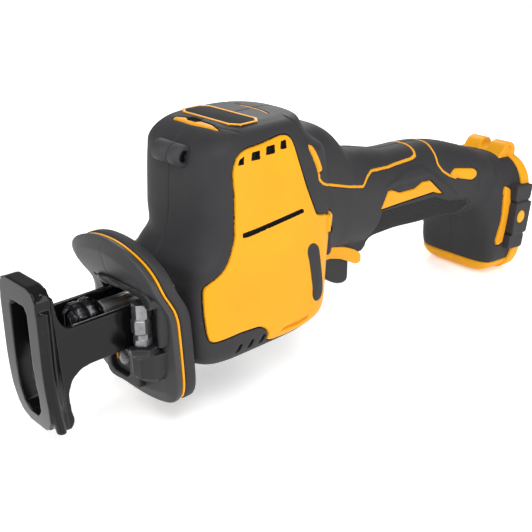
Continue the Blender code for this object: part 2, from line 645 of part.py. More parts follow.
def make_drive():
    line = (0.0, 0.0, SHAFT_Z)
    rod("reciprocating_shaft", SHAFT_R, CLAMP_BACK + GAP, GEAR_X - YOKE_HALF - GAP, line, "X", 24, 0.5)
    ring("shaft_bushing", SHAFT_R + 0.05, 7.0, -92.4, -79.5, line)
    ring("shaft_seal", SHAFT_R + 0.1, 7.0, -95.0, -92.7, line)
    clamp = lathe("blade_clamp", [(0.0, CLAMP_FRONT), (4.6, CLAMP_FRONT), (6.0, CLAMP_FRONT + 1.6), (6.0, CLAMP_BACK - 1.0),
                                  (5.0, CLAMP_BACK), (0.0, CLAMP_BACK)], line, "X", 20)
    cut(clamp, box("blade_slot", (-140.0, -123.0), (-0.8, 0.8), (SHAFT_Z - 5.0, SHAFT_Z + 8.0)))
    lathe("clamp_sleeve", [(6.3, -131.0), (7.4, -130.2), (7.4, -127.0), (6.9, -126.2), (7.8, -125.0), (7.8, -122.6),
                           (6.3, -122.0)], line, "X", 20)
    yoke = box("scotch_yoke", (GEAR_X - YOKE_HALF, GEAR_X + YOKE_HALF), (-12.4, 12.4), (46.2, 56.0))
    soften(yoke, 0.8)
    cut(yoke, box("track", (GEAR_X - 2.5, GEAR_X + 2.5), (-10.7, 10.7), (50.5, 60.0)))
    toothed("crank_gear", GEAR_TEETH, 61.0, 66.0, (GEAR_X, 0.0), 0.0, 2.55)
    rod("crank_pin", 2.4, 56.3, 60.7, (GEAR_X, CRANK_R, 0.0), "Z", 16, 0.3)
    rod("crank_axle", 2.5, 60.6, 72.0, (GEAR_X, 0.0, 0.0), "Z", 16, 0.3)
    weight = [(GEAR_X + r * math.cos(a), r * math.sin(a))
              for r, turns in ((10.6, range(0, 13)), (3.6, range(12, -1, -1)))
              for a in (math.radians(-180.0 + 15.0 * i) for i in turns)]
    prism("counterweight", weight, 66.3, 68.7, "Z")


def make_motor():
    axis = (MOTOR_X, 0.0, 0.0)
    toothed("pinion", PINION_TEETH, 61.0, 66.5, (MOTOR_X, 0.0), 180.0 / PINION_TEETH)
    rod("motor_shaft", 2.0, 66.8, 111.0, axis, "Z", 14, 0.3)
    ring("lower_bearing", 2.1, 6.0, 69.5, 72.3, axis, "Z", 20)
    ring("upper_bearing", 2.1, 6.0, 106.5, 110.0, axis, "Z", 20)
    ring("bearing_carrier", 6.3, 12.0, 106.5, 110.4, axis, "Z", 20)
    ring("motor_rotor", 2.3, 11.6, 82.5, 103.5, axis, "Z", 24)
    stator = ring("motor_stator", 12.2, 18.6, 82.0, 104.0, axis, "Z", 36)
    for i in range(6):
        angle = math.radians(60.0 * i)
        x, y = MOTOR_X + 12.6 * math.cos(angle), 12.6 * math.sin(angle)
        cut(stator, rod("winding_slot", 2.2, 70.0, 120.0, (x, y, 0.0), "Z", 8))
    fan = ring("cooling_fan", 2.3, 17.0, 74.2, 75.4, axis, "Z", 28)
    for i in range(9):
        angle = 2.0 * math.pi * i / 9.0
        c, s = math.cos(angle), math.sin(angle)
        corners = [(7.0, -0.5), (16.0, 2.0), (16.0, 3.0), (7.0, 0.5)]
        blade = [(MOTOR_X + a * c - b * s, a * s + b * c) for a, b in corners]
        join(fan, prism("blade", blade, 75.0, 79.5, "Z"))


def make_electrics():
    box("heat_sink", (-75.0, -35.0), (-16.0, 16.0), (29.0, 32.0))
    box("controller_board", (-76.0, -34.0), (-17.0, 17.0), (32.4, 34.0))
    soften(box("switch_body", (1.5, 27.0), (-9.0, 9.0), (55.5, 72.0)), 1.0)
    receiver = box("battery_receiver", (104.0, 121.8), (-10.0, 10.0), (47.0, 63.0))
    cut(receiver, box("hollow", (106.5, 130.0), (-8.0, 8.0), (49.0, 61.0)))
    for number, y in enumerate((-5.0, 0.0, 5.0), 1):
        soften(box(f"terminal_{number}", (106.8, 119.0), (y - 0.6, y + 0.6), (51.0, 59.0)), 0.3)


def make_controls():
    bezel = soften(prism("trigger_bezel", BEZEL, -BEZEL_HALF, BEZEL_HALF), 0.8)
    cut(bezel, box("opening", (TRIGGER_X[0] - GAP, TRIGGER_X[1] + GAP), (-TRIGGER_HALF - GAP, TRIGGER_HALF + GAP),
                   (20.0, 60.0)))
    x0, x1 = TRIGGER_X
    outline = [(x0, 49.6), (x0, 34.0), (x0 + 0.4, 30.0), (x0 + 2.2, 27.6), (x0 + 6.5, 25.6), (x1 - 5.0, 24.9),
               (x1 - 1.2, 26.2), (x1, 30.0), (x1, 49.6)]
    soften(prism("trigger", outline, -TRIGGER_HALF, TRIGGER_HALF), 1.4, 2)
    lozenge = [(LOCK_X[0], LOCK_Z[0] + 2.0), (LOCK_X[0] + 1.5, LOCK_Z[0]), (LOCK_X[1] - 1.0, LOCK_Z[0]),
               (LOCK_X[1], LOCK_Z[0] + 1.5), (LOCK_X[1], LOCK_Z[1] - 1.5), (LOCK_X[1] - 1.0, LOCK_Z[1]),
               (LOCK_X[0] + 1.5, LOCK_Z[1]), (LOCK_X[0], LOCK_Z[1] - 2.0)]
    prism("lock_off_button", lozenge, -LOCK_HALF, LOCK_HALF)


make_housing()
make_trim()
make_nose()
make_shoe()
make_gearcase()
make_drive()
make_motor()
make_electrics()
make_controls()
for finished in SAW.objects:
    merge_flat(finished)
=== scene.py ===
"""Looks of a compact reciprocating saw: fine surfaces, materials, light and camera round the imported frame.

Dimensions are millimetres in the CAD's own frame, scaled once by MM.
"""

import math

import bmesh
import bpy
import numpy as np
from mathutils import Matrix, Vector


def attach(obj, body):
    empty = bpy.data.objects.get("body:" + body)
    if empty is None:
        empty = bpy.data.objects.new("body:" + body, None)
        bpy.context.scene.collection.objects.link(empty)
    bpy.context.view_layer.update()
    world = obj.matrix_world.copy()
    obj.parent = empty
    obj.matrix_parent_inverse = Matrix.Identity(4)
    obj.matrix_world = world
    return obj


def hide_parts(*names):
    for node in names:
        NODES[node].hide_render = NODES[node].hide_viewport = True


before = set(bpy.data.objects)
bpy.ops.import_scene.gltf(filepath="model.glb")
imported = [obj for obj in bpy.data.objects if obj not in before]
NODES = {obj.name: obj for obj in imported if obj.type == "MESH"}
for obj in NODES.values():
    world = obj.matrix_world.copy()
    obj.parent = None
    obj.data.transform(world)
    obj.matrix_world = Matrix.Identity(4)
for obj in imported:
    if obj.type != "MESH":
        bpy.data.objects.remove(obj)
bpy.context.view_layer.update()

MM = 0.001

# Camera.
CAMERA_AT = (-295.35, -284.47, 212.25)
CAMERA_BACK = (-0.6298, -0.6684, 0.3955)
CAMERA_RIGHT = (0.7278, -0.6858, 0)
CAMERA_UP = (0.2712, 0.2878, 0.9184)
FOCAL = 61.92

# Tower: height, front X, rear X, half width, squareness of the left front, right front and rear corners.
TOWER = [
    (22, -86, -32, 24, 4, 4, 4),
    (25, -90, -24, 29.5, 5.4, 4.8, 5.4),
    (32, -92.4, -16, 32, 6.6, 5.4, 6.6),
    (58, -92.4, -14.2, 32.4, 6.6, 4.2, 6.6),
    (66, -91, -12.6, 32.2, 6, 2.4, 6),
    (74, -85, -10.8, 31.8, 5, 2.2, 5),
    (84, -82.5, -9, 31, 4.4, 2.8, 4.4),
    (104, -80.8, -11, 29, 4, 3.2, 4),
    (108, -79.8, -15.5, 28.4, 4, 3.4, 3.4),
    (111, -79, -18.5, 27.8, 4, 3.6, 3),
    (114.5, -76.5, -19.5, 26.4, 4, 3.6, 2.7),
    (117.5, -72, -20.5, 24.2, 3.8, 3.6, 2.6),
    (119, -68, -23, 21.4, 3.6, 3.6, 2.6),
    (119.9, -62, -29, 17, 3.4, 3.4, 2.6),
]
# Handle: X, top, bottom, half width, squareness.
HANDLE = [
    (-45, 106, 50, 24, 2.6),
    (-25, 109.8, 46, 24, 2.6),
    (-7, 109.4, 45, 22, 2.6),
    (3, 105.4, 44.5, 20.5, 2.5),
    (9, 99.8, 43.4, 19.9, 2.5),
    (14, 94.6, 42.8, 19.4, 2.4),
    (19.5, 91.9, 42.2, 19, 2.4),
    (30, 90.2, 41.5, 18.4, 2.4),
    (38, 88.3, 42.5, 18, 2.4),
    (50, 85.8, 42.5, 17.7, 2.4),
    (74, 84.6, 40.5, 17.7, 2.4),
    (92, 81.8, 39, 18.2, 2.4),
    (114, 75.5, 36, 20.8, 2.6),
    (127, 70.5, 29, 21.5, 2.8),
]
# Battery socket: distance in front of the rim plane, top, bottom, half width, squareness above and below.
SOCKET_TILT = 0.14
SOCKET_X = 144.5
SOCKET = [
    (34, 68, 36, 18.6, 2.5, 2.6),
    (27.5, 68.4, 20, 21.5, 2.7, 3.4),
    (23, 68.4, 5, 24.2, 2.8, 4.6),
    (20, 68.2, 1.6, 25.4, 2.9, 5),
    (9, 67, 1.2, 27, 3, 5),
    (0, 65, 1.05, 28, 3, 5),
]
SKIRT = [(-12, 62), (-9, 46), (6, 46), (22, 40.2), (26.4, 38.8), (29.4, 41), (35, 49), (36, 62)]
RIM_PROUD = 1.2
RIM_DEEP = 7.2
TRAY_TOP = 8.0

# Outlines on the sides, as (X, Z).
PANEL = [
    (-70.8, 93.9), (-70.6, 104.5), (-69.2, 108.4), (-67.6, 110.8), (-63.8, 112.8), (-54.2, 113.6),
    (-44.7, 114.9), (-40.4, 114.5), (-38.2, 112.2), (-36.6, 105), (-32.6, 91.9), (-28.6, 81.9),
    (-26.8, 77.6), (-23.8, 76.6), (-17.4, 75.2), (-16.2, 60), (-15.8, 44), (-18.5, 35), (-24, 29),
    (-32, 26.6), (-44, 25.8), (-52.6, 26.4), (-56.2, 27.4), (-55.4, 30.3), (-56.9, 33.3), (-60.8, 36.1),
    (-72.3, 37), (-85.2, 36.4), (-87.1, 37.6), (-88, 40.5), (-88.9, 49.8), (-89.1, 59.4), (-88.1, 61.9),
    (-83.9, 64.2), (-80.2, 66.3), (-76.2, 70.7), (-72.6, 78),
]
STRAP = [(-19.5, 66.5), (-19, 74.6), (-10.4, 73.8), (-7.4, 71.2), (-7.2, 62.8), (-9.6, 62.4), (-12.4, 66.2),
    (-14, 68)]
LOCK_RECESS = [(-12.8, 67), (-11.2, 66.4), (-6, 64.4), (-4.6, 62), (-4.8, 52), (-7, 49), (-12.2, 50.2)]
PANEL_SLOT = [(-69.2, 78), (-69.1, 80), (-36.4, 82.6), (-34.8, 81.7), (-35.2, 80.6), (-66.7, 77.9)]
LOWER_SLOT = [(-48.5, 29.2), (-47.2, 30.8), (-42.8, 31), (-31.6, 31.6), (-32, 29.8), (-36, 28.9)]
VENTS = [
    [(-68.3, 107.1), (-67.2, 109.2), (-65, 110.3), (-65.6, 107.1)],
    [(-62, 107.9), (-61.2, 111), (-57, 111.2), (-57.4, 107.8)],
    [(-54.3, 108.7), (-53.4, 111.8), (-48.8, 112), (-49.2, 108.6)],
    [(-46.3, 109.4), (-45.2, 112.4), (-42.2, 112.6), (-42.6, 109.2)],
]
STRIPE_FRONT = [(-23.4, 95.5), (-23.3, 92), (-20.2, 89.3), (-8.8, 84.6), (6.2, 79.8), (18.6, 76.6),
    (22.8, 80.1), (27.2, 82.1), (41, 80.8), (61.1, 80.6), (65.2, 81.3), (67.2, 83.6), (68.9, 86.5)]
STRIPE_FRONT_TAB = [(-28.1, 108.1), (-26.2, 107.2), (-22.8, 100.9), (-21.1, 96.7), (-21.7, 95),
    (-24.2, 94.7), (-24.8, 97.6), (-28.6, 105.9)]
STRIPE_REAR = [(83.4, 86), (82.2, 83.1), (80.6, 81.4), (80.1, 78.5), (79.4, 74.5), (82.4, 70.4),
    (87.9, 66.8), (94.2, 64.2)]
STRIPE_REAR_TAB = [(88.4, 67.6), (92.7, 69.8), (107.5, 67), (109.7, 64.9), (108.8, 62.4), (105.9, 60.9),
    (97.2, 63.2), (91.1, 65.4)]
STRIPE_WIDTH = 1.25
GRIP_FLASH = [(32.6, 61.6), (37.7, 69.8), (41, 69.7), (46.9, 66.9), (58.8, 66.3), (64.9, 68.4),
    (71.5, 67.8), (82.4, 58.4), (79.2, 58.9), (74.7, 60.8), (36.4, 61.4)]
SOCKET_BAR = [(126.1, 21.6), (127.3, 18.4), (131.7, 19.6), (136, 43), (135.9, 50.6), (131.7, 52.9),
    (130.4, 49.4), (129.4, 33.3)]
RIBS = [(28, 44), (31, 52), (33.8, 60.6), (76.5, 58), (90.5, 52.4), (103.4, 50.4), (105.8, 47), (101, 41),
    (90, 34), (40, 34)]
RIB_PITCH = 2.55
RIB_DEPTH = 0.95
COLLAR = [(110.4, 74.6), (107.4, 71), (106.2, 68.4), (110.9, 66), (112.3, 61.7), (110.6, 56.9)]
NECK_FOLD = [(91, 52.6), (103.4, 50.8), (106.6, 47.9), (107.6, 44), (104, 41)]
PARTING = [(-33.5, 119), (-31.5, 116.5), (-29.6, 112.6), (-28, 108.8)]
FACET = [(34, 72.6), (52, 77.6), (65, 77.6), (84, 65), (97, 54.5), (93, 51.6), (84, 55.6), (70, 69.4),
    (61, 70), (41, 70.8), (35, 70.2)]
NOTCHES = [[(x, 27.6), (x + 2.6, 27.6), (x + 4.0, 31.2), (x + 2.2, 31.6)] for x in (-74.4, -67.8, -61.2)]

# Outlines on the tower's top, as (X, Y).
TOP_SLIT = [(-68.4, 13.2), (-66.2, 12.8), (-64.8, 7.2), (-66.4, 5.8), (-66.5, 0.6), (-64.8, -1.6),
    (-65.1, -9), (-67.2, -15.4), (-68, -10), (-69, 0)]
TOP_NOTCH = [(-65, 7.4), (-63.2, 5.8), (-63.4, 0.4), (-65, -2), (-66.4, 0.4), (-66.3, 6)]
REAR_SLIT = [(-35.4, 11.2), (-34.6, 6), (-34.4, 0), (-35, -6), (-37, -12), (-37.4, -11.6), (-35.6, -6),
    (-35.2, 0), (-35.4, 6)]
TOP_CREASE = [(-65.4, -12.6), (-64.4, -16.8), (-61.6, -21.6), (-60.8, -23.6), (-62, -23.4), (-65, -17),
    (-66, -12.8)]
PLATE = [(-61.6, 14.4), (-58.6, 18.6), (-49.4, 18.6), (-46.4, 14.8), (-46.4, -14.8), (-49.4, -18.6),
    (-58.6, -18.6), (-61.6, -14.4)]
PLATE_Z = (118.9, 120)

GAP_WIDTH = 0.42  # width of the dark line round the yellow fields
VOXEL = 0.85  # grid of the body's first remesh
FINE = 2  # times the mesh is halved along drawn lines


# ---- small mathematics

def monotone(knots, values, t):
    """Smooth interpolation through (knots, values) that never overshoots, sampled at t."""
    knots, values = np.asarray(knots, float), np.asarray(values, float)
    h = np.diff(knots)
    d = np.diff(values) / h
    m = np.zeros(len(knots))
    m[0], m[-1] = d[0], d[-1]
    for i in range(1, len(knots) - 1):
        if d[i - 1] * d[i] > 0.0:
            w1, w2 = 2.0 * h[i] + h[i - 1], h[i] + 2.0 * h[i - 1]
            m[i] = (w1 + w2) / (w1 / d[i - 1] + w2 / d[i])
    i = np.clip(np.searchsorted(knots, t, side="right") - 1, 0, len(h) - 1)
    s = (t - knots[i]) / h[i]
    return ((1 + 2 * s) * (1 - s) ** 2 * values[i] + s * (1 - s) ** 2 * h[i] * m[i]
            + s * s * (3 - 2 * s) * values[i + 1] + s * s * (s - 1) * h[i] * m[i + 1])


def sections(table, step):
    """The table's rows resampled every step along its first column."""
    rows = sorted(table)
    knots = [row[0] for row in rows]
    t = np.linspace(knots[0], knots[-1], int((knots[-1] - knots[0]) / step) + 1)
    columns = [monotone(knots, [row[c] for row in rows], t) for c in range(1, len(rows[0]))]
    return list(zip(t, *columns))


def superellipse(half_x, half_y, power, count=96):
    def bulge(value):
        return math.copysign(abs(value) ** (2.0 / power), value)
    angles = [math.tau * (i + 0.5) / count for i in range(count)]
    return [(half_x * bulge(math.cos(a)), half_y * bulge(math.sin(a))) for a in angles]


def rounded(outline, radius, steps=5):
    """The outline with each corner replaced by a short curve."""
    points = [Vector(p) for p in outline]
    result = []
    for i, p in enumerate(points):
        before, after = points[i - 1], points[(i + 1) % len(points)]
        reach_in = min(radius, 0.45 * (before - p).length)
        reach_out = min(radius, 0.45 * (after - p).length)
        start, end = p + (before - p).normalized() * reach_in, p + (after - p).normalized() * reach_out
        for k in range(steps + 1):
            t = k / steps
            result.append(tuple(start * (1 - t) ** 2 + p * 2 * t * (1 - t) + end * t * t))
    return result


def ribbon(spine, width):
    """Outline of a stripe of constant width along a spine."""
    left, right = [], []
    for i, point in enumerate(spine):
        p = Vector(point)
        before = Vector(spine[i - 1]) if i else p - (Vector(spine[1]) - p)
        after = Vector(spine[i + 1]) if i + 1 < len(spine) else p + (p - before)
        first, second = (p - before).normalized(), (after - p).normalized()
        normal = Vector((-first.y - second.y, first.x + second.x)).normalized()
        reach = width / 2.0 / max(normal.dot(Vector((-first.y, first.x))), 0.6)
        left.append(tuple(p + normal * reach))
        right.append(tuple(p - normal * reach))
    return left + right[::-1]


def distance(points, outline):
    """Signed distance from points to a closed outline, negative inside."""
    best = np.full(len(points), 1e9)
    inside = np.zeros(len(points), bool)
    x, y = points[:, 0], points[:, 1]
    for i, (ax, ay) in enumerate(outline):
        bx, by = outline[(i + 1) % len(outline)]
        ex, ey = bx - ax, by - ay
        t = np.clip(((x - ax) * ex + (y - ay) * ey) / max(ex * ex + ey * ey, 1e-12), 0.0, 1.0)
        best = np.minimum(best, np.hypot(x - ax - t * ex, y - ay - t * ey))
        if ay != by:
            inside ^= ((ay > y) != (by > y)) & (x < ax + (y - ay) * ex / ey)
    return np.where(inside, -best, best)


def smoothstep(value):
    t = np.clip(value, 0.0, 1.0)
    return t * t * (3.0 - 2.0 * t)


# ---- mesh building

def link(obj):
    bpy.context.scene.collection.objects.link(obj)
    return obj


def solid(name, verts, faces):
    """A closed mesh object from millimetre points, faces turned outwards."""
    mesh = bpy.data.meshes.new(name)
    mesh.from_pydata([Vector(v) * MM for v in verts], [], faces)
    bm = bmesh.new()
    bm.from_mesh(mesh)
    bmesh.ops.remove_doubles(bm, verts=bm.verts, dist=1e-7)
    bmesh.ops.recalc_face_normals(bm, faces=bm.faces)
    bm.to_mesh(mesh)
    bm.free()
    return link(bpy.data.objects.new(name, mesh))


def loft(name, rings, closed_ends=True):
    count = len(rings[0])
    verts = [p for ring in rings for p in ring]
    faces = []
    if closed_ends:
        faces = [list(range(count)), list(range(len(verts) - count, len(verts)))]
    for level in range(len(rings) - 1):
        low = level * count
        for i in range(count):
            j = (i + 1) % count
            faces.append((low + i, low + j, low + count + j, low + count + i))
    return solid(name, verts, faces)


def placed(a, b, t, along):
    """The point (a, b) of a plane across an axis, at t along it."""
    return {"X": (t, a, b), "Y": (a, t, b), "Z": (a, b, t)}[along]


def prism(name, outline, low, high, along="Y"):
    return loft(name, [[placed(a, b, t, along) for a, b in outline] for t in (low, high)])


def box(name, x, y, z):
    return prism(name, [(x[0], y[0]), (x[1], y[0]), (x[1], y[1]), (x[0], y[1])], z[0], z[1], "Z")


def lathe(name, profile, centre, along="X", sides=64):
    """A (radius, distance) profile turned about an axis through centre."""
    rings = []
    for r, t in profile:
        ring = []
        for step in range(sides):
            angle = math.tau * step / sides
            c, s = max(r, 0.001) * math.cos(angle), max(r, 0.001) * math.sin(angle)
            ring.append(tuple(a + b for a, b in zip(centre, placed(c, s, t, along))))
        rings.append(ring)
    return loft(name, rings)


def bake(obj):
    """Apply every modifier of an object."""
    graph = bpy.context.evaluated_depsgraph_get()
    result = bpy.data.meshes.new_from_object(obj.evaluated_get(graph), depsgraph=graph)
    obj.modifiers.clear()
    obj.data = result
    return obj


def combine(obj, other, operation):
    modifier = obj.modifiers.new(operation.lower(), "BOOLEAN")
    modifier.operation = operation
    modifier.solver = "EXACT"
    modifier.object = other
    bake(obj)
    bpy.data.objects.remove(other, do_unlink=True)
    return obj


def cut(obj, *others):
    for other in others:
        combine(obj, other, "DIFFERENCE")
    return obj


def gather(name, *objs):
    """Several closed meshes in one object, overlaps and all."""
    bm = bmesh.new()
    for obj in objs:
        bm.from_mesh(obj.data)
        bpy.data.objects.remove(obj, do_unlink=True)
    mesh = bpy.data.meshes.new(name)
    bm.to_mesh(mesh)
    bm.free()
    return link(bpy.data.objects.new(name, mesh))


def melt(obj, voxel, passes):
    """Fuse overlapping solids on a fine grid and round their edges, like a moulding or casting."""
    modifier = obj.modifiers.new("grid", "REMESH")
    modifier.mode = "VOXEL"
    modifier.voxel_size = voxel * MM
    if passes:
        smooth = obj.modifiers.new("round", "SMOOTH")
        smooth.iterations = passes
    return bake(obj)


def cast(name, solids, holes=(), voxel=0.5, passes=4):
    """One moulded or cast piece from overlapping solids, minus holes."""
    whole = gather(name, *solids)
    if holes:
        melt(whole, voxel, 0)
        cut(whole, *holes)
    return melt(whole, voxel, passes)


def soften(obj, width, segments=3, angle=35.0):
    modifier = obj.modifiers.new("edge", "BEVEL")
    modifier.width = width * MM
    modifier.segments = segments
    modifier.limit_method = "ANGLE"
    modifier.angle_limit = math.radians(angle)
    return bake(obj)


def read(items, attribute):
    """A vector attribute of every vertex or face."""
    values = np.zeros(len(items) * 3)
    items.foreach_get(attribute, values)
    return values.reshape(-1, 3)


def points_of(obj):
    return read(obj.data.vertices, "co") / MM


def set_points(obj, points):
    obj.data.vertices.foreach_set("co", (points * MM).ravel())
    obj.data.update()


# ---- materials

def nodes_of(name):
    """A new material, its node tree, its shader and its coordinates."""
    material = bpy.data.materials.new(name)
    material.use_nodes = True
    tree = material.node_tree
    return material, tree, tree.nodes["Principled BSDF"], tree.nodes.new("ShaderNodeTexCoord")


def noise(tree, coordinates, scale, detail=3.0, roughness=0.55):
    node = tree.nodes.new("ShaderNodeTexNoise")
    node.inputs["Scale"].default_value = scale
    node.inputs["Detail"].default_value = detail
    node.inputs["Roughness"].default_value = roughness
    tree.links.new(coordinates.outputs["Object"], node.inputs["Vector"])
    return node.outputs["Fac"]


def ramp(tree, value, low, high, at=(0.35, 0.65)):
    node = tree.nodes.new("ShaderNodeValToRGB")
    node.color_ramp.elements[0].position = at[0]
    node.color_ramp.elements[1].position = at[1]
    node.color_ramp.elements[0].color = (*low, 1.0)
    node.color_ramp.elements[1].color = (*high, 1.0)
    tree.links.new(value, node.inputs["Fac"])
    return node.outputs["Color"]


def mapped(tree, value, low, high):
    node = tree.nodes.new("ShaderNodeMapRange")
    node.inputs["To Min"].default_value = low
    node.inputs["To Max"].default_value = high
    tree.links.new(value, node.inputs["Value"])
    return node.outputs["Result"]


def mixed(tree, share, first, second):
    node = tree.nodes.new("ShaderNodeMix")
    node.data_type = "RGBA"
    tree.links.new(share, node.inputs["Factor"])
    tree.links.new(first, node.inputs[6])
    tree.links.new(second, node.inputs[7])
    return node.outputs[2]


def mottled(tree, value, color, spread):
    """A colour that wanders by a share to both sides."""
    dark, light = (tuple(min(1.0, c * (1.0 + s * spread)) for c in color) for s in (-1, 1))
    return ramp(tree, value, dark, light)


def bumped(tree, shader, heights):
    """Chain of bumps: (height output, strength, distance in mm)."""
    last = None
    for height, strength, reach in heights:
        node = tree.nodes.new("ShaderNodeBump")
        node.inputs["Strength"].default_value = strength
        node.inputs["Distance"].default_value = reach * MM
        tree.links.new(height, node.inputs["Height"])
        if last:
            tree.links.new(last, node.inputs["Normal"])
        last = node.outputs["Normal"]
    tree.links.new(last, shader.inputs["Normal"])


def plastic(name, color, rough, grain=0.25, grain_size=0.22, mottle=0.08, wear=0.0, specular=0.5):
    """Moulded plastic or rubber: fine grain, faint mottling, uneven gloss and rubbed edges."""
    material, tree, shader, coordinates = nodes_of(name)
    cloud = noise(tree, coordinates, 35, 4)
    fine = noise(tree, coordinates, 1.0 / (grain_size * MM), 2, 0.6)
    pores = noise(tree, coordinates, 0.35 / (grain_size * MM), 3, 0.6)
    tone = mottled(tree, cloud, color, mottle)
    if wear:
        geometry = tree.nodes.new("ShaderNodeNewGeometry")
        rubbed = ramp(tree, geometry.outputs["Pointiness"], (0, 0, 0), (1, 1, 1), (0.515, 0.57))
        pale, palest = (tuple(min(1.0, c * (1.0 + share * wear)) for c in color) for share in (1, 2))
        worn = ramp(tree, pores, pale, palest)
        tone = mixed(tree, rubbed, tone, worn)
    tree.links.new(tone, shader.inputs["Base Color"])
    tree.links.new(mapped(tree, pores, rough - 0.06, rough + 0.07), shader.inputs["Roughness"])
    shader.inputs["Specular IOR Level"].default_value = specular
    bumped(tree, shader, [(pores, grain * 0.6, 0.12), (fine, grain, 0.06)])
    return material


def metal(name, color, rough, brushed=0.15, spots=0.1):
    """Machined or plated steel: fine directional scratches, uneven tone and gloss."""
    material, tree, shader, coordinates = nodes_of(name)
    stretch = tree.nodes.new("ShaderNodeMapping")
    stretch.inputs["Scale"].default_value = (1, 1, 12)
    tree.links.new(coordinates.outputs["Object"], stretch.inputs["Vector"])
    lines = tree.nodes.new("ShaderNodeTexNoise")
    lines.inputs["Scale"].default_value = 900.0
    lines.inputs["Detail"].default_value = 3.0
    tree.links.new(stretch.outputs["Vector"], lines.inputs["Vector"])
    cloud = noise(tree, coordinates, 160, 4)
    shader.inputs["Metallic"].default_value = 1.0
    tree.links.new(mottled(tree, cloud, color, spots), shader.inputs["Base Color"])
    tree.links.new(mapped(tree, cloud, rough - 0.05, rough + 0.1), shader.inputs["Roughness"])
    bumped(tree, shader, [(lines.outputs["Fac"], brushed, 0.05), (cloud, brushed, 0.08)])
    return material


def enamel(name, color, rough):
    """Glossy coated casting: slight orange peel, a few dull scuffs."""
    material, tree, shader, coordinates = nodes_of(name)
    peel = noise(tree, coordinates, 420, 2, 0.5)
    waves = noise(tree, coordinates, 90, 2, 0.5)
    scuffs = noise(tree, coordinates, 60, 6, 0.75)
    dull = tuple(c * 1.6 + 0.004 for c in color)
    tree.links.new(ramp(tree, scuffs, color, dull, (0.55, 0.8)), shader.inputs["Base Color"])
    tree.links.new(mapped(tree, scuffs, rough, rough + 0.14), shader.inputs["Roughness"])
    shader.inputs["Specular IOR Level"].default_value = 0.22
    bumped(tree, shader, [(waves, 0.25, 0.12), (peel, 0.2, 0.04)])
    return material


def clear_lens(name):
    material, tree, shader, coordinates = nodes_of(name)
    shader.inputs["Base Color"].default_value = (0.93, 0.95, 0.97, 1)
    shader.inputs["Transmission Weight"].default_value = 0.85
    shader.inputs["IOR"].default_value = 1.49
    haze = noise(tree, coordinates, 500)
    tree.links.new(mapped(tree, haze, 0.04, 0.14), shader.inputs["Roughness"])
    bumped(tree, shader, [(haze, 0.1, 0.03)])
    return material


# Darker copy of the yellow nylon: painted shade on the recessed lower slot and on the socket bar's face.
SHADED_YELLOW = plastic("yellow_nylon_painted_shade", (0.66, 0.265, 0.006), 0.5, grain=0.16, mottle=0.05, specular=0.2)
YELLOW = plastic("yellow_nylon", (0.72, 0.312, 0.005), 0.46, grain=0.16, mottle=0.035, wear=0.05,
                 specular=0.2)
BLACK = plastic("overmould_rubber", (0.026, 0.025, 0.027), 0.6, grain=0.5, grain_size=0.3, mottle=0.1,
                wear=0.3, specular=0.22)
GREY = plastic("guard_nylon", (0.032, 0.032, 0.034), 0.46, grain=0.28, wear=0.35, specular=0.26)
NOSE = plastic("nose_nylon", (0.013, 0.013, 0.014), 0.4, grain=0.25, wear=0.5, specular=0.3)
JET = plastic("jet_plastic", (0.010, 0.010, 0.011), 0.36, grain=0.22, wear=0.6, specular=0.26)
PLATE_BLACK = plastic("plate_black", (0.004, 0.004, 0.004), 0.7, grain=0.15, mottle=0.05, specular=0.12)
RIBBED = plastic("ribbed_rubber", (0.016, 0.016, 0.017), 0.6, grain=0.4, grain_size=0.3, mottle=0.1,
                 wear=0.4, specular=0.2)
VOID = plastic("vent_shadow", (0.006, 0.006, 0.006), 0.8, grain=0.1, specular=0.2)
GLOSS = enamel("shoe_enamel", (0.004, 0.004, 0.0045), 0.12)
STEEL = metal("ground_steel", (0.56, 0.56, 0.57), 0.3)
ZINC = metal("tumbled_zinc", (0.26, 0.26, 0.27), 0.42, spots=0.25)
DARK_STEEL = metal("blackened_steel", (0.045, 0.045, 0.048), 0.28, spots=0.25)
ALLOY = metal("cast_alloy", (0.60, 0.61, 0.62), 0.5, brushed=0.3)
BRONZE = metal("sintered_bronze", (0.62, 0.40, 0.18), 0.4)
BOARD = plastic("board_lacquer", (0.01, 0.14, 0.05), 0.25, grain=0.15, mottle=0.3)
LENS = clear_lens("lamp_lens")


def finish_piece(obj, body, slot, material, *nodes):
    """Smooth shading, material, and the piece's place in the frame."""
    obj.data.materials.append(material)
    for polygon in obj.data.polygons:
        polygon.use_smooth = True
    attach(obj, body)
    if nodes:
        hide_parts(*nodes)
    return obj


def crisp(obj, angle=30.0):
    """Keep edges sharper than an angle crisp under smooth shading."""
    mesh = obj.data
    bm = bmesh.new()
    bm.from_mesh(mesh)
    for edge in bm.edges:
        edge.smooth = len(edge.link_faces) != 2 or edge.calc_face_angle(0.0) < math.radians(angle)
    bm.to_mesh(mesh)
    bm.free()
    return obj


# ---- the body's surface

def tower():
    rings = []
    for z, front, rear, half, *powers in sections(TOWER, 1):
        reach, middle = (rear - front) / 2.0, (rear + front) / 2.0
        ring = []
        for left, right, back in zip(*(superellipse(reach, half, power) for power in powers)):
            a, b = back if left[0] > 0.0 else right if left[1] > 0.0 else left
            ring.append((middle + a, b, z))
        rings.append(ring)
    return loft("tower", rings)


def handle():
    rings = []
    for x, top, low, half, power in sections(HANDLE, 2):
        middle = (top + low) / 2.0
        rings.append([(x, a, middle + b) for a, b in superellipse(half, (top - low) / 2.0, power)])
    return loft("handle", rings)


def cup_rings(rows):
    rings = []
    for s, top, low, half, power_above, power_below in rows:
        middle, reach = (top + low) / 2.0, (top - low) / 2.0
        outline = [(a, b) for a, b in superellipse(half, reach, power_above) if b > 0.0]
        outline += [(a, b) for a, b in superellipse(half, reach, power_below) if b <= 0.0]
        rings.append([(SOCKET_X + SOCKET_TILT * (middle + b) - s, a, middle + b) for a, b in outline])
    return rings


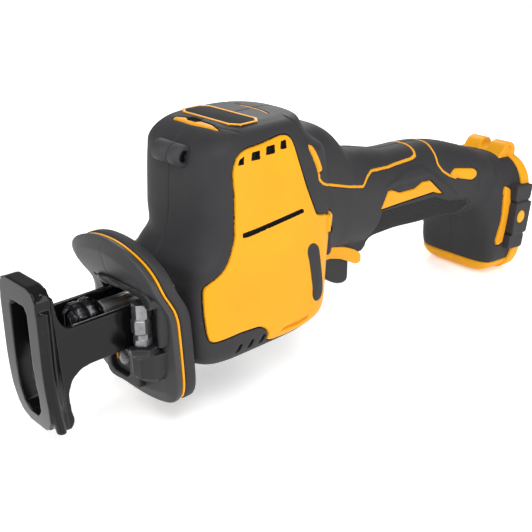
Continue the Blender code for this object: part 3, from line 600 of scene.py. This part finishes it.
def rim_gap(points):
    """Distance in front of the rim plane."""
    return SOCKET_X + SOCKET_TILT * points[:, 2] - points[:, 0]


# Zones: outline, colour, height above the skin, depth of the groove round it.
SIDE_ZONES = [
    (rounded(PANEL, 2.4), "yellow", 0.35, 0.7),
    (rounded(STRAP, 1.6), "yellow", 1.1, 0.6),
    (rounded(LOCK_RECESS, 1.2), "void", -1.2, 0),
    (rounded(PANEL_SLOT, 0.6), "void", -1.6, 0),
    # recessed slot, coloured the darker yellow as painted shade
    (rounded(LOWER_SLOT, 0.7), "amber", -1.1, 0.2),
    (rounded(ribbon(STRIPE_FRONT, STRIPE_WIDTH), 1), "yellow", 0.15, 0.35),
    (rounded(STRIPE_FRONT_TAB, 1.2), "yellow", 0.45, 0.45),
    (rounded(ribbon(STRIPE_REAR, STRIPE_WIDTH), 1), "yellow", 0.15, 0.35),
    (rounded(STRIPE_REAR_TAB, 1.4), "yellow", 0.5, 0.45),
    (rounded(GRIP_FLASH, 0.8), "yellow", 0.4, 0.5),
    # socket bar: yellow rim, its core coloured the darker yellow as painted shade
    (rounded(SOCKET_BAR, 1.6), "inlay", 0.5, 0.6),
    (ribbon(PARTING, 0.5), "skin", 0.0, 0.44),
    (ribbon(COLLAR, 0.5), "skin", 0.0, 0.44),
    (ribbon(NECK_FOLD, 0.6), "skin", 0.0, 0.44),
]
SIDE_ZONES += [(rounded(vent, 0.5), "void", -1.9, 0) for vent in VENTS]
SIDE_ZONES += [(rounded(notch, 0.8), "void", -1.4, 0) for notch in NOTCHES]
TOP_ZONES = [
    (rounded(TOP_SLIT, 1), "yellow", 0.1, 0.5),
    (rounded(TOP_NOTCH, 1), "void", -0.9, 0.2),
    (rounded(REAR_SLIT, 0.8), "yellow", 0.1, 0.3),
    (rounded(TOP_CREASE, 0.8), "skin", -0.6, 0.1),
    (rounded(PLATE, 0.6), "skin", -0.8, 0),
]
STRIPES = (5, 7)  # side zones that run over the top of the handle
BAR = 10  # side zone that must stay off the front of the socket
FIELD = 0  # side zone that must not wrap round the tower's right front corner
FIELD_LIMIT = 27.0  # how near the middle it may come there, below FIELD_TOP
FIELD_TOP = 90.0
FOOT_FROM = 100.0  # X where the flared foot and its tray begin
CAP_FROM = 110.0  # height where the zones on the tower's top begin
FAR = 50.0  # distance given where a zone does not apply


def tray_height(points):
    """Height above the top edge of the foot's yellow tray."""
    return np.where(points[:, 0] > FOOT_FROM, points[:, 2] - TRAY_TOP, FAR)


def zone_distances(points):
    """Distance of each point to each zone; far away where a zone does not apply."""
    side = points[:, [0, 2]]
    flat = points[:, [0, 1]]
    result = []
    for index, (outline, *_rest) in enumerate(SIDE_ZONES):
        low = np.min(outline, axis=0) - 4.0
        high = np.max(outline, axis=0) + 4.0
        near = np.all((side > low) & (side < high), axis=1)
        if index not in STRIPES:
            near &= np.abs(points[:, 1]) > (18.0 if index == BAR else 6.0)
        d = np.full(len(points), FAR)
        d[near] = distance(side[near], outline)
        if index == FIELD:
            limit = FIELD_LIMIT - 0.25 * np.maximum(points[:, 2] - FIELD_TOP, 0.0)
            d = np.where(points[:, 1] > 0.0, np.maximum(d, limit - points[:, 1]), d)
        result.append(d)
    for outline, *_rest in TOP_ZONES:
        near = points[:, 2] > CAP_FROM
        d = np.full(len(points), FAR)
        d[near] = distance(flat[near], outline)
        result.append(d)
    return result


def drawn_lines(points):
    """Distance of each point to the nearest line that needs a fine mesh."""
    nearest = np.min(np.abs(zone_distances(points)), axis=0)
    nearest = np.minimum(nearest, np.abs(points[:, 1]) + 0.4)
    return np.minimum(nearest, np.abs(tray_height(points)))


def refine(obj, passes):
    """Halve the edges near drawn lines, and everywhere in the ribbed grip, a few times."""
    for level in range(passes):
        reach = 1.7 / 2 ** level
        points = points_of(obj)
        wanted = drawn_lines(points) < reach
        if level == 0:
            wanted |= (distance(points[:, [0, 2]], RIBS) < 1.0) & (points[:, 2] < 63.0)
        bm = bmesh.new()
        bm.from_mesh(obj.data)
        bm.verts.ensure_lookup_table()
        edges = [e for e in bm.edges if wanted[e.verts[0].index] and wanted[e.verts[1].index]]
        bmesh.ops.subdivide_edges(bm, edges=edges, cuts=1, use_grid_fill=True)
        bmesh.ops.triangulate(bm, faces=[f for f in bm.faces if len(f.verts) > 4])
        bm.to_mesh(obj.data)
        bm.free()


def snap(obj):
    """Slide the points nearest a zone's outline onto it, so that colours meet on a clean line."""
    points = points_of(obj)
    grid = VOXEL / 2 ** FINE
    for index, (outline, *_rest) in enumerate(SIDE_ZONES + TOP_ZONES):
        axes = [0, 2] if index < len(SIDE_ZONES) else [0, 1]
        d = zone_distances(points)[index]
        close = np.abs(d) < 0.45 * grid
        if not close.any():
            continue
        here = points[close][:, axes]
        slope = np.stack([distance(here + step, outline) - distance(here - step, outline)
                          for step in ([0.05, 0.0], [0.0, 0.05])], axis=1)
        slope /= np.maximum(np.linalg.norm(slope, axis=1), 1e-6)[:, None]
        moved = points[close]
        moved[:, axes] -= slope * d[close][:, None]
        points[close] = moved
    set_points(obj, points)


def relief(points):
    """Height of the moulded detail at each point of the body."""
    height = np.zeros(len(points))
    for d, (_outline, _colour, raised, groove) in zip(zone_distances(points), SIDE_ZONES + TOP_ZONES):
        soft = 0.35 if raised < 0.0 else 0.7
        height += raised * smoothstep(-d / soft)
        height -= groove * np.exp(-(d / 0.32) ** 2)
    side = points[:, [0, 2]]
    out = np.abs(points[:, 1])
    height += 0.7 * smoothstep(-distance(side, FACET) / 2.0) * (out > 6.0)
    ribbed = smoothstep(-distance(side, RIBS)) * (out > 1.5)
    ribbed *= smoothstep((distance(side, GRIP_FLASH) - 0.6) / 0.4)
    lean = points[:, 0] - 0.6 * points[:, 2]
    wave = 0.5 + 0.5 * np.cos(math.tau * lean / RIB_PITCH)
    height += ribbed * RIB_DEPTH * (wave - 1.0)
    height -= 0.3 * np.exp(-(out / 0.3) ** 2)
    tray = tray_height(points)
    return height + 0.45 * smoothstep(-tray / 0.6) - 0.4 * np.exp(-(tray / 0.35) ** 2)


def face_colours(centres):
    """Name of the finish of each face, from where its centre lies."""
    colours = np.array(["skin"] * len(centres), dtype=object)
    zones = list(zip(zone_distances(centres), SIDE_ZONES + TOP_ZONES))
    for d, (*_rest, groove) in zones:
        if groove > 0.45:
            colours[(d > 0.0) & (d < GAP_WIDTH)] = "void"
    for d, (_outline, colour, *_rest) in zones:
        # the socket bar keeps a yellow rim; faces more than 0.9 mm inside it get the darker yellow as
        # painted shade
        if colour == "inlay":
            colours[d < 0.0] = "yellow"
            colours[d < -0.9] = "amber"
        elif colour != "skin":
            colours[d < 0.0] = colour
    side = centres[:, [0, 2]]
    ribbed = (distance(side, RIBS) < -0.3) & (distance(side, GRIP_FLASH) > 0.4)
    colours[ribbed & (np.abs(centres[:, 1]) > 1.5) & (colours == "skin")] = "ribs"
    tray = tray_height(centres)
    colours[tray < 0.0] = "yellow"
    colours[(tray > 0.0) & (tray < 0.4)] = "void"
    return colours


def take_faces(source, name, keep):
    """A new object with the chosen faces of another."""
    bm = bmesh.new()
    bm.from_mesh(source.data)
    bm.faces.ensure_lookup_table()
    bmesh.ops.delete(bm, geom=[f for f in bm.faces if not keep[f.index]], context="FACES")
    mesh = bpy.data.meshes.new(name)
    bm.to_mesh(mesh)
    bm.free()
    return link(bpy.data.objects.new(name, mesh))


def make_body():
    skirt = prism("skirt", rounded(SKIRT, 2, 3), -11.5, 11.5)
    whole = gather("body", tower(), handle(), skirt, loft("socket", cup_rings(sections(SOCKET, 1.5))))
    melt(whole, VOXEL, 4)
    refine(whole, FINE)
    snap(whole)
    points = points_of(whole)
    raised = points + read(whole.data.vertices, "normal") * relief(points)[:, None]
    centres = read(whole.data.polygons, "center") / MM
    set_points(whole, raised)
    colours = face_colours(centres)
    inside = rim_gap(centres) > RIM_DEEP - 1.0
    for side, word in ((-1.0, "left"), (1.0, "right")):
        half = (centres[:, 1] * side > 0.0) & inside
        for colour, label, slot, material, node in (
                ("skin", "overmould", "black_overmould", BLACK, "overmould_"),
                ("yellow", "shell", "yellow_plastic", YELLOW, "housing_"),
                # painted shade: darker yellow pieces that use the same slot as the yellow shell
                ("amber", "inlay", "yellow_plastic", SHADED_YELLOW, "housing_"),
                ("ribs", "ribs", "black_overmould", RIBBED, "overmould_"),
                ("void", "recess", "black_plastic", VOID, "overmould_")):
            piece = take_faces(whole, f"{label}_{word}_surface", half & (colours == colour))
            finish_piece(piece, "frame", slot, material, node + word)
    bpy.data.objects.remove(whole, do_unlink=True)


def make_rim():
    """Yellow rear rim with rounded lips, and the pocket behind it that takes the battery."""
    rows = []
    lips = [(RIM_DEEP + 0.2, -2.5), (RIM_DEEP, RIM_PROUD - 0.8), (RIM_DEEP - 0.25, RIM_PROUD - 0.25),
        (RIM_DEEP - 0.8, RIM_PROUD), (1.2, RIM_PROUD), (0.5, RIM_PROUD - 0.2), (0.15, RIM_PROUD - 0.6),
        (0, RIM_PROUD - 1.2), (0, -2.2), (0.2, -2.9), (0.8, -3.4), (1.8, -3.6)]
    for s, grow in lips:
        rows.append((s, 65.0 + 0.2 * s + grow, 1.2 - grow, 28.0 - 0.1 * s + grow, 3.0, 5.0))
    hollow = [(3, 61.2, 4.9, 24.2, 3, 5), (16, 61.5, 7, 22.5, 3, 4.5), (22, 60.4, 13, 19.5, 3, 3.4),
        (26, 60, 30, 15, 3, 3), (36, 62, 45, 11.5, 3, 3)]
    rim = loft("rear_rim", cup_rings(rows + hollow), closed_ends=False)
    finish_piece(rim, "frame", "yellow_plastic", YELLOW, "housing_left", "housing_right")


def make_lug():
    """Two-lobed lug on top of the rim with a shallow channel between the lobes."""
    low = [(134, 60), (136.5, 65), (140, 68.4), (146, 69.4), (152, 68.6), (153.2, 66), (152.6, 60)]
    lobe = [(136, 61), (140, 68.6), (143.4, 72.2), (147, 73), (151, 72), (153.4, 68.6), (152.8, 61)]
    bodies = [prism("base", low, -15, 10.6)]
    for near, far in ((-15, -4.6), (0.6, 10.6)):
        bodies.append(prism("lobe", rounded(lobe, 1.5, 3), near, far))
    holes = [lathe("eye", [(0, low), (2.9, low), (2.9, high), (0, high)], (146.5, 0, 68), "Y", 32)
             for low, high in ((-16.2, -13.9), (9.5, 12.2))]
    holes.append(prism("mouth", [(-9, 74), (-8, 70.9), (4.4, 70.9), (5.4, 74)], 130, 142.6, "X"))
    lug = cast("rim_lug", bodies, holes, 0.45, 5)
    finish_piece(lug, "frame", "yellow_plastic", YELLOW, "housing_left", "housing_right")


BOSS_AT = (-80.2, 0, 109.2)


def make_boss():
    """Round boss across the tower's front edge, split in two, with a screw recess at its left end."""
    left = [(0, -7.6), (2.2, -7.6), (2.5, -9.5), (2.9, -9.8), (3.7, -9.8), (4.5, -9), (4.5, -3.5),
        (4.2, -3.2), (0, -3.2)]
    right = [(0, -2.9), (4.2, -2.9), (4.5, -2.6), (4.5, 6.8), (3.4, 8), (0, 8.4)]
    for word, profile in (("left", left), ("right", right)):
        boss = lathe(f"boss_{word}_surface", profile, BOSS_AT, "Y", 64)
        finish_piece(boss, "frame", "black_overmould", BLACK, "overmould_" + word)
    profile = [(0, -8), (1.1, -8), (1.1, -9), (1.8, -9), (2.1, -8.7), (2.1, -7), (1.4, -7), (1.4, 8),
        (0, 8)]
    screw = crisp(lathe("screw_front_surface", profile, BOSS_AT, "Y", 48))
    finish_piece(screw, "frame", "dark_steel", DARK_STEEL, "screw_front")


def make_plate():
    """Blank black plate on the tower's top, in a raised yellow frame."""
    plate = soften(prism("nameplate_blank", rounded(PLATE, 0.4, 2), *PLATE_Z, "Z"), 0.25)
    finish_piece(plate, "frame", "black_plastic", PLATE_BLACK, "nameplate")
    inner = [(-54.0 + (x + 54.0) * 0.86, y * 0.945) for x, y in PLATE]
    border = cut(prism("nameplate_border", PLATE, PLATE_Z[1] - 0.6, PLATE_Z[1] + 0.2, "Z"),
                 prism("inside", inner, PLATE_Z[0] - 2, PLATE_Z[1] + 3, "Z"))
    finish_piece(crisp(soften(border, 0.12, 2)), "frame", "yellow_plastic", YELLOW)


# ---- trim on the sides

def make_trim():
    pad = rounded([(-33.8, 62.6), (-32.6, 65.4), (-29.5, 65.8), (-26.6, 63.4), (-22.6, 45), (-22.2, 40),
        (-24, 37.2), (-27.7, 36.9), (-29.7, 40.2), (-29.6, 43.9), (-32.3, 57.4)], 1.6)
    for word, sign in (("left", -1.0), ("right", 1.0)):
        blank = prism("pad", pad, sign * 25, sign * 33)
        piece = cast(f"side_pad_{word}_surface", [blank], (), 0.4, 5)
        points = points_of(piece)
        depth = np.abs(points[:, 1])
        reach = side_width(points[:, 0], points[:, 2]) + 1.0
        points[:, 1] = np.where(depth > 29.0, sign * np.minimum(depth - 33.0 + reach, 32.8), points[:, 1])
        set_points(piece, points)
        finish_piece(piece, "frame", "black_overmould", BLACK, "side_pad_" + word)
        make_bumper(word, sign)


def side_width(x, z):
    """Half width of the tower at (x, z)."""
    rows = sections(TOWER, 1)
    level = np.array([row[0] for row in rows])
    front, rear, half, power = (np.interp(z, level, [row[c] for row in rows]) for c in (1, 2, 3, 4))
    share = np.clip(np.abs((x - (front + rear) / 2.0) / ((rear - front) / 2.0)), 0.0, 0.999)
    return half * (1.0 - share ** power) ** (1.0 / power)


DOT_AT = (139.8, 0, 34.6)


def make_bumper(word, sign):
    """Three-part rubber bumper on the socket's side, with a yellow dot in the middle part."""
    parts = []
    for low, high, proud in ((16.4, 24.6, 30.2), (25.2, 43.4, 31.3), (44, 52.8, 30.2)):
        outline = [(134.2 + 0.10 * (low - 40.0), low), (134.2 + 0.10 * (high - 40.0), high),
                   (143.6 + SOCKET_TILT * high, high - 1.5), (143.6 + SOCKET_TILT * low, low - 1.5)]
        parts.append(prism("part", rounded(outline, 1.8, 3), sign * 24, sign * proud))
        parts.append(prism("web", [(135.8, low + 1), (136.4, high), (147.5, high - 1.5), (146, low)],
                           sign * 24.0, sign * 29.0))
    bumper = cast(f"side_bumper_{word}_surface", parts, (), 0.4, 4)
    profile = [(r, sign * y) for r, y in ((0, 29.8), (3.9, 29.8), (3.9, 33), (0, 33))]
    cut(bumper, lathe("hole", profile, DOT_AT, "Y", 40))
    finish_piece(crisp(bumper, 50), "frame", "black_overmould", BLACK, "side_bumper_" + word)
    profile = [(r, sign * y) for r, y in ((0, 29.4), (3.6, 29.4), (3.6, 31.2), (3.2, 31.5), (1.8, 31.6),
        (0, 31.62))]
    dot = lathe(f"bumper_dot_{word}_surface", profile, DOT_AT, "Y", 40)
    finish_piece(dot, "frame", "yellow_plastic", YELLOW, "bumper_dot_" + word)


# ---- controls

def make_controls():
    bezel = rounded([(-3.5, 43), (-3.5, 48.6), (5.5, 48.2), (13.5, 45.8), (21.5, 42.2), (25.6, 38.8),
        (25.4, 34.6), (22, 34.2), (17.5, 36.8), (10.4, 40.4), (2.9, 42.6)], 1.4)
    ring = cast("trigger_bezel_surface", [prism("band", bezel, -12.6, 12.6)],
                [box("well", (3.7, 21.8), (-8.3, 8.3), (20, 60))], 0.45, 4)
    finish_piece(ring, "frame", "yellow_plastic", YELLOW, "trigger_bezel")
    front = rounded([(4.2, 49.4), (4.2, 33.6), (5.2, 30.2), (8.4, 27.4), (13.5, 24.6), (18.4, 23.6),
        (21.2, 24.6), (21.6, 27.4), (21.4, 49.4)], 2.2)
    trigger = cast("trigger_surface", [prism("blade", front, -7.9, 7.9)],
                   [box("scoop", (4, 30), (-9, 9), (10, 20))], 0.4, 8)
    finish_piece(trigger, "trigger", "black_plastic", JET, "trigger")
    lozenge = rounded([(-11, 53.2), (-9.6, 50.8), (-7.6, 50.8), (-6.4, 52.4), (-6.4, 61.6), (-7.6, 63.4),
        (-9.6, 63.4), (-11, 61.2)], 1.5, 4)
    button = soften(prism("lock_off_button_surface", lozenge, -22.2, 22.2), 0.9, 4, 50)
    finish_piece(button, "lock_button", "black_plastic", JET, "lock_off_button")


# ---- guard and nose

GUARD_HALF = [(0, 81.4), (8, 80.8), (14.5, 79.2), (21.2, 76.6), (25.8, 73), (28.2, 68.8), (28, 64.8),
    (26.6, 61), (26.4, 56), (27.2, 46), (28.8, 28), (29.2, 18.5), (26.5, 13.4), (20, 11), (11, 9.4),
    (0, 8.8)]
GUARD_PROFILE = [(9, -103), (40, -103), (48, -103.1), (53, -104), (58, -106.4), (63, -109.6), (68, -112),
    (76, -113.9), (84, -115)]


GUARD_LIP = 5.4  # width of the ring's even outer lip
GUARD_MIDDLE = np.array([0.0, 46.0])


def guard_x(z):
    knots, values = zip(*GUARD_PROFILE)
    return monotone(knots, values, np.clip(z, knots[0], knots[-1]))


def guard_outline(inset, count=180):
    """The guard's smooth outline moved inwards, evenly spaced."""
    loop = GUARD_HALF + [(-y, z) for y, z in GUARD_HALF[-2:0:-1]]
    fine = np.array(rounded(loop, 6.0, 4))
    closed = np.vstack([fine, fine[:1]])
    along = np.r_[0.0, np.cumsum(np.hypot(*np.diff(closed, axis=0).T))]
    t = np.linspace(0.0, along[-1], count, endpoint=False)
    ring = np.stack([np.interp(t, along, closed[:, 0]), np.interp(t, along, closed[:, 1])], axis=1)
    for _ in range(8):
        ring = (np.roll(ring, 1, axis=0) + 2.0 * ring + np.roll(ring, -1, axis=0)) / 4.0
    tangent = np.roll(ring, -1, axis=0) - np.roll(ring, 1, axis=0)
    normal = np.stack([tangent[:, 1], -tangent[:, 0]], axis=1)
    normal /= np.linalg.norm(normal, axis=1)[:, None]
    outward = np.sign(np.sum(normal * (ring - ring.mean(axis=0)), axis=1).mean())
    return ring - normal * outward * inset


def guard_rings(near, far, chamfer, round_edge):
    """Front of the sheet from the middle outwards, round its edge and back."""
    inner = [(s, near) for s in (26, 22, 18, 14, 10, 7)]
    face = [(5.4, near), (4.9, near + 0.15), (1.6, near + chamfer), (0.7, near + chamfer + 0.25),
            (0.15, near + chamfer + round_edge * 0.6), (0.0, near + chamfer + round_edge)]
    edge = [(0.0, far - round_edge), (0.15, far - round_edge * 0.4), (0.5, far - 0.05), (1.0, far)]
    back = [(s, far) for s in (5, 10, 14, 18, 22, 26)]
    return inner + face + edge + back


def make_guard():
    layers = (("guard_front", -2.0, 2.6, 1.5, 0.9, GREY, "grey_plastic", 0.0),
              ("guard_band", 2.8, 4.2, 0.0, 0.35, YELLOW, "yellow_plastic", 0.35),
              ("guard_rear", 4.4, 9.6, 0.0, 1.4, BLACK, "grey_plastic", 0.0))
    for name, near, far, chamfer, edge, material, slot, tuck in layers:
        rings = []
        for inset, depth in guard_rings(near, far, chamfer, edge):
            outline = guard_outline(min(inset, GUARD_LIP) + tuck)
            if inset > GUARD_LIP:
                shrink = 1.0 - (inset - GUARD_LIP) / 34.0
                outline = GUARD_MIDDLE + (outline - GUARD_MIDDLE) * shrink
            depths = depth + guard_x(outline[:, 1])
            rings.append([(x, y, z) for x, (y, z) in zip(depths, outline)])
        piece = loft(name + "_surface", rings)
        points = points_of(piece)
        if name == "guard_front":
            front = points[:, 0] - guard_x(points[:, 2]) < -1.0
            points[:, 0] += np.where(front, 0.25 * np.exp(-(points[:, 1] / 0.35) ** 2), 0.0)
            set_points(piece, points)
        cut(piece, box("opening", (-130, -80), (-15.8, 15.8), (34.7, 61.3)))
        finish_piece(crisp(piece, 40), "frame", slot, material, name)


LEVER_X, LEVER_Y = -110.7, -17.4


def six_sided(name, half_x, half_y, turn, low, high, lean=0.0):
    """Six-sided upright step of the lever's post, between two heights."""
    angles = [math.radians(60.0 * i + turn) for i in range(6)]
    outline = [(LEVER_X + lean + half_x * math.cos(a), LEVER_Y + half_y * math.sin(a)) for a in angles]
    return prism(name, outline, low, high, "Z")


def make_nose():
    """Arched hood, lamp box and lever stand, moulded in one piece in front of the guard."""
    arch = [(-25.8, 58), (-25.6, 61.8), (-22.6, 64.6), (-14.2, 65.6), (-0.6, 65), (8, 63.2), (13.4, 60.8),
        (16, 56.6), (13, 56), (11, 58.2), (7, 60.2), (-1, 61.9), (-14, 62.5), (-20.4, 61.6), (-22.8, 58)]
    hood = prism("hood", rounded(arch, 1.2, 3), -114.4, -102, "X")
    points = points_of(hood)
    swept = 4.0 * (np.maximum(points[:, 1], 0.0) / 16.0) ** 2 + 2.0 * (points[:, 1] / 25.0) ** 2
    points[:, 0] += np.where(points[:, 0] < -110.0, swept, 0.0)
    set_points(hood, points)
    leg = prism("leg", [(-107.6, -25.2), (-108.4, -23.4), (-102, -23), (-102, -25.4)], 40, 61.5, "Z")
    base = box("base", (-103.8, -100), (-22, 22), (16, 60))
    lamp = prism("lamp", rounded([(-9, 14.4), (12, 13.6), (14.6, 16), (14.6, 30), (12, 32.6), (-9, 34.6)],
                                 2.0, 3), -107.8, -101.0, "X")
    stand = prism("stand", [(-114.4, -14.4), (-113.8, -20), (-110.4, -23.8), (-102, -24.6), (-102, -11.6),
        (-112.6, -11.6)], 26.0, 37.0, "Z")
    foot = prism("foot", [(-112.8, -14.6), (-112.2, -19.4), (-109, -22.8), (-102, -23.6), (-102, -12.6),
        (-111, -12.6)], 24.4, 27.0, "Z")
    cap = six_sided("cap", 6.9, 6.6, 15.0, 37.6, 40.4)
    neck = six_sided("neck", 5.4, 5.2, 15.0, 36.0, 38.2)
    holes = [box("opening", (-120, -80), (-15.8, 15.8), (38.4, 61.3)),
             box("swing", (-120, -80), (-12.7, 12.7), (34.9, 50)),
             prism("lamp_recess", rounded([(-2.6, 17), (11.4, 17), (11.4, 29.6), (-2.6, 29.6)], 4, 4),
                   -120.0, -104.4, "X")]
    nose = cast("nose_block_surface", [hood, leg, base, lamp, stand, foot, cap, neck], holes, 0.42, 3)
    finish_piece(nose, "frame", "grey_plastic", NOSE, "nose_block")


def make_lamp():
    lens = lathe("lamp_lens_surface", [(0, -107.2), (1.2, -107.1), (2.2, -106.7), (3, -106), (3.2, -105.3),
        (3.2, -104.3), (0, -104.3)], (0, 4.4, 23.3), "X", 48)
    finish_piece(lens, "frame", "lamp_glass", LENS, "lamp_lens")
    angles = [math.radians(100.0 + 8.0 * i) for i in range(14)]
    arc = [(5.6 * math.cos(a), 5.6 * math.sin(a)) for a in angles]
    inner = [(0.9 * y, 0.9 * z) for y, z in arc]
    outline = [(4.4 - y, 23.3 + z) for y, z in arc + inner[::-1]]
    ring = soften(prism("lamp_ring_surface", outline, -105.6, -104.7, "X"), 0.1, 2)
    finish_piece(ring, "frame", "yellow_plastic", YELLOW)


def make_lever():
    """Faceted metal post: the thumb lever of the blade clamp."""
    steps = [(4.2, 4, 10, 40.5, 43.4, 0), (3.7, 3.5, 30, 43, 46.4, 0), (4.2, 3.8, 18, 46, 51.6, -0.4),
        (3.6, 3.2, 18, 51.2, 52.8, -0.3), (4.2, 3.8, 25, 52.4, 58.6, 0.2)]
    parts = [six_sided("step", *step) for step in steps]
    lever = cast("clamp_lever_surface", parts, (), 0.28, 4)
    finish_piece(lever, "clamp_lever", "lever_metal", ZINC, "clamp_lever")


# ---- shoe and blade clamp

def make_shoe():
    """Cast shoe: a slotted front ring on two side arms joined by a floor."""
    half = [(7.6, 75), (11.4, 73.6), (13.2, 70.4), (13.6, 62), (13.8, 36), (13.6, 26), (12.4, 18.6),
        (9.8, 14.2), (6, 12.3)]
    ring = prism("ring", [(-y, z) for y, z in half[::-1]] + half, -153.4, -147, "X")
    side = rounded([(-150, 14), (-146.5, 12.2), (-142.6, 12.2), (-140.4, 15.4), (-141.8, 20.4),
        (-142.2, 28), (-140, 33.4), (-136, 36.4), (-131, 37.2), (-100.5, 37.2), (-97.6, 39.5), (-97.6, 53),
        (-99.5, 55.2), (-138.5, 55.2), (-142, 57), (-144, 61), (-145.2, 70), (-150, 72)], 1.6, 3)
    parts = [ring]
    for sign in (-1, 1):
        parts.append(prism("arm", side, sign * 9.7, sign * 11.9))
        angles = [math.radians(30.0 * i) for i in range(12)]
        bead = [(-150.4 + 2.1 * math.cos(a), sign * 12.9 + 2.1 * math.sin(a)) for a in angles]
        parts.append(prism("bead", bead, 13.4, 66, "Z"))
        parts.append(prism("web", [(-150, 13), (-145.6, 13.4), (-145.2, 30), (-146.4, 56), (-147.4, 72),
            (-150, 73)], sign * 9.7, sign * 12.8))
    parts.append(box("floor", (-143, -104), (-11, 11), (37.2, 39.2)))
    slot = [(4.4, 66.2), (6, 63.6), (6.3, 40), (6.9, 28), (5.8, 21.4), (2.8, 18.2)]
    hole = prism("slot", [(-y, z) for y, z in slot[::-1]] + slot, -160, -140, "X")
    shoe = cast("shoe_surface", parts, [hole], 0.42, 4)
    points = points_of(shoe)
    sweep = np.clip((46.0 - points[:, 2]) / 33.0, 0.0, 1.0) ** 2
    points[:, 0] += 2.8 * sweep * smoothstep((-141.0 - points[:, 0]) / 8.0)
    set_points(shoe, points)
    finish_piece(shoe, "shoe", "black_enamel", GLOSS, "shoe")
    lips = [box("lip", (-137, -100), side, (55.05, 55.35)) for side in ((-10.35, -9.75), (9.75, 10.35))]
    lip = gather("shoe_lip_surface", *lips)
    finish_piece(crisp(soften(lip, 0.12, 2)), "shoe", "plain_steel", ZINC)


SHAFT_HEIGHT = 51.0


def make_clamp():
    line = (0, 0, SHAFT_HEIGHT)
    nose = lathe("clamp_nose", [(0, -134), (4.4, -134), (5.9, -132.2), (6, -120.2), (5, -119), (0, -119)],
                 line, "X", 8)
    holes = [box("slot", (-140, -123), (-0.8, 0.8), (46, 59)),
             box("flat", (-131, -126.5), (-9, 9), (55.6, 60))]
    clamp = cast("blade_clamp_surface", [nose], holes, 0.25, 3)
    finish_piece(clamp, "ram", "dark_steel", DARK_STEEL, "blade_clamp")
    profile = [(6.3, -131), (7, -131), (7.4, -130.4), (7.4, -127.4), (6.8, -126.6), (6.9, -126),
        (7.8, -125.2), (7.8, -122.8), (7.3, -122), (6.3, -122)]
    sleeve = lathe("clamp_sleeve_surface", profile + profile[:1], line, "X", 72)
    points = points_of(sleeve)
    above = points[:, 2] - SHAFT_HEIGHT
    angle = np.arctan2(above, points[:, 1])
    radius = np.hypot(points[:, 1], above)
    knurl = np.where(radius > 7.0, 0.25 * np.cos(angle * 12.0) - 0.25, 0.0)
    points[:, 1] += np.cos(angle) * knurl
    points[:, 2] += np.sin(angle) * knurl
    set_points(sleeve, points)
    finish_piece(crisp(sleeve, 40), "ram", "dark_steel", DARK_STEEL, "clamp_sleeve")


# ---- CAD pieces that keep their shape

KEPT = (
    (STEEL, "shoe_pivot_pin reciprocating_shaft scotch_yoke crank_gear crank_pin crank_axle counterweight "
            "pinion motor_shaft lower_bearing upper_bearing"),
    (DARK_STEEL, "motor_rotor motor_stator screw_1 screw_2 screw_3 screw_4 screw_5 screw_6 screw_7"),
    (ALLOY, "gearcase gearcase_cover heat_sink"),
    (BRONZE, "shaft_bushing terminal_1 terminal_2 terminal_3"),
    (JET, "shaft_seal cooling_fan bearing_carrier switch_body battery_receiver"),
    (BOARD, "controller_board"),
)


def dress_kept_nodes():
    for material, names in KEPT:
        for name in names.split():
            mesh = NODES[name].data
            mesh.materials.clear()
            mesh.materials.append(material)


# ---- floor, light, camera

def make_stage():
    bpy.context.scene.view_settings.view_transform = "Standard"
    floor = box("floor", (-3000, 3000), (-3000, 3000), (-12, -0.05))
    material, tree, shader, coordinates = nodes_of("pale_floor")
    cloud = noise(tree, coordinates, 4)
    tree.links.new(ramp(tree, cloud, (0.93, 0.93, 0.93), (0.95, 0.95, 0.95)), shader.inputs["Base Color"])
    tree.links.new(mapped(tree, cloud, 0.75, 0.85), shader.inputs["Roughness"])
    shader.inputs["Emission Color"].default_value = (1, 1, 1, 1)
    shader.inputs["Emission Strength"].default_value = 0.34
    floor.data.materials.append(material)
    world = bpy.data.worlds.new("studio")
    bpy.context.scene.world = world
    world.use_nodes = True
    background = world.node_tree.nodes["Background"]
    background.inputs["Color"].default_value = (1, 1, 1, 1)
    background.inputs["Strength"].default_value = 0.34
    sky = bpy.data.lights.new("sky", "SUN")
    sky.energy = 1.25
    sky.angle = math.radians(40.0)
    lamp = link(bpy.data.objects.new("sky", sky))
    lamp.rotation_euler = (math.radians(14.0), math.radians(-10.0), 0.0)
    area_light("key", (-380, -520, 620), (0, 0, 50), 420, 3.3)
    area_light("side", (-620, 120, 300), (-60, 0, 60), 260, 1.3)
    area_light("low", (120, -620, 160), (20, 0, 60), 320, 1.2)
    area_light("rim", (420, 420, 420), (0, 0, 60), 300, 2)


def area_light(name, at, target, size, power):
    data = bpy.data.lights.new(name, "AREA")
    data.shape = "SQUARE"
    data.size = size * MM
    data.energy = power
    lamp = link(bpy.data.objects.new(name, data))
    lamp.location = Vector(at) * MM
    lamp.rotation_euler = (Vector(target) - Vector(at)).to_track_quat("-Z", "Y").to_euler()


def make_camera():
    data = bpy.data.cameras.new("camera")
    data.lens = FOCAL
    data.sensor_width = 36.0
    data.clip_start = 0.01
    camera = link(bpy.data.objects.new("camera", data))
    axes = Matrix((CAMERA_RIGHT, CAMERA_UP, CAMERA_BACK)).transposed().to_4x4()
    axes.translation = Vector(CAMERA_AT) * MM
    camera.matrix_world = axes
    bpy.context.scene.camera = camera


make_camera()
make_body()
make_rim()
make_lug()
make_boss()
make_plate()
make_trim()
make_controls()
make_guard()
make_nose()
make_lamp()
make_lever()
make_shoe()
make_clamp()
dress_kept_nodes()
make_stage()
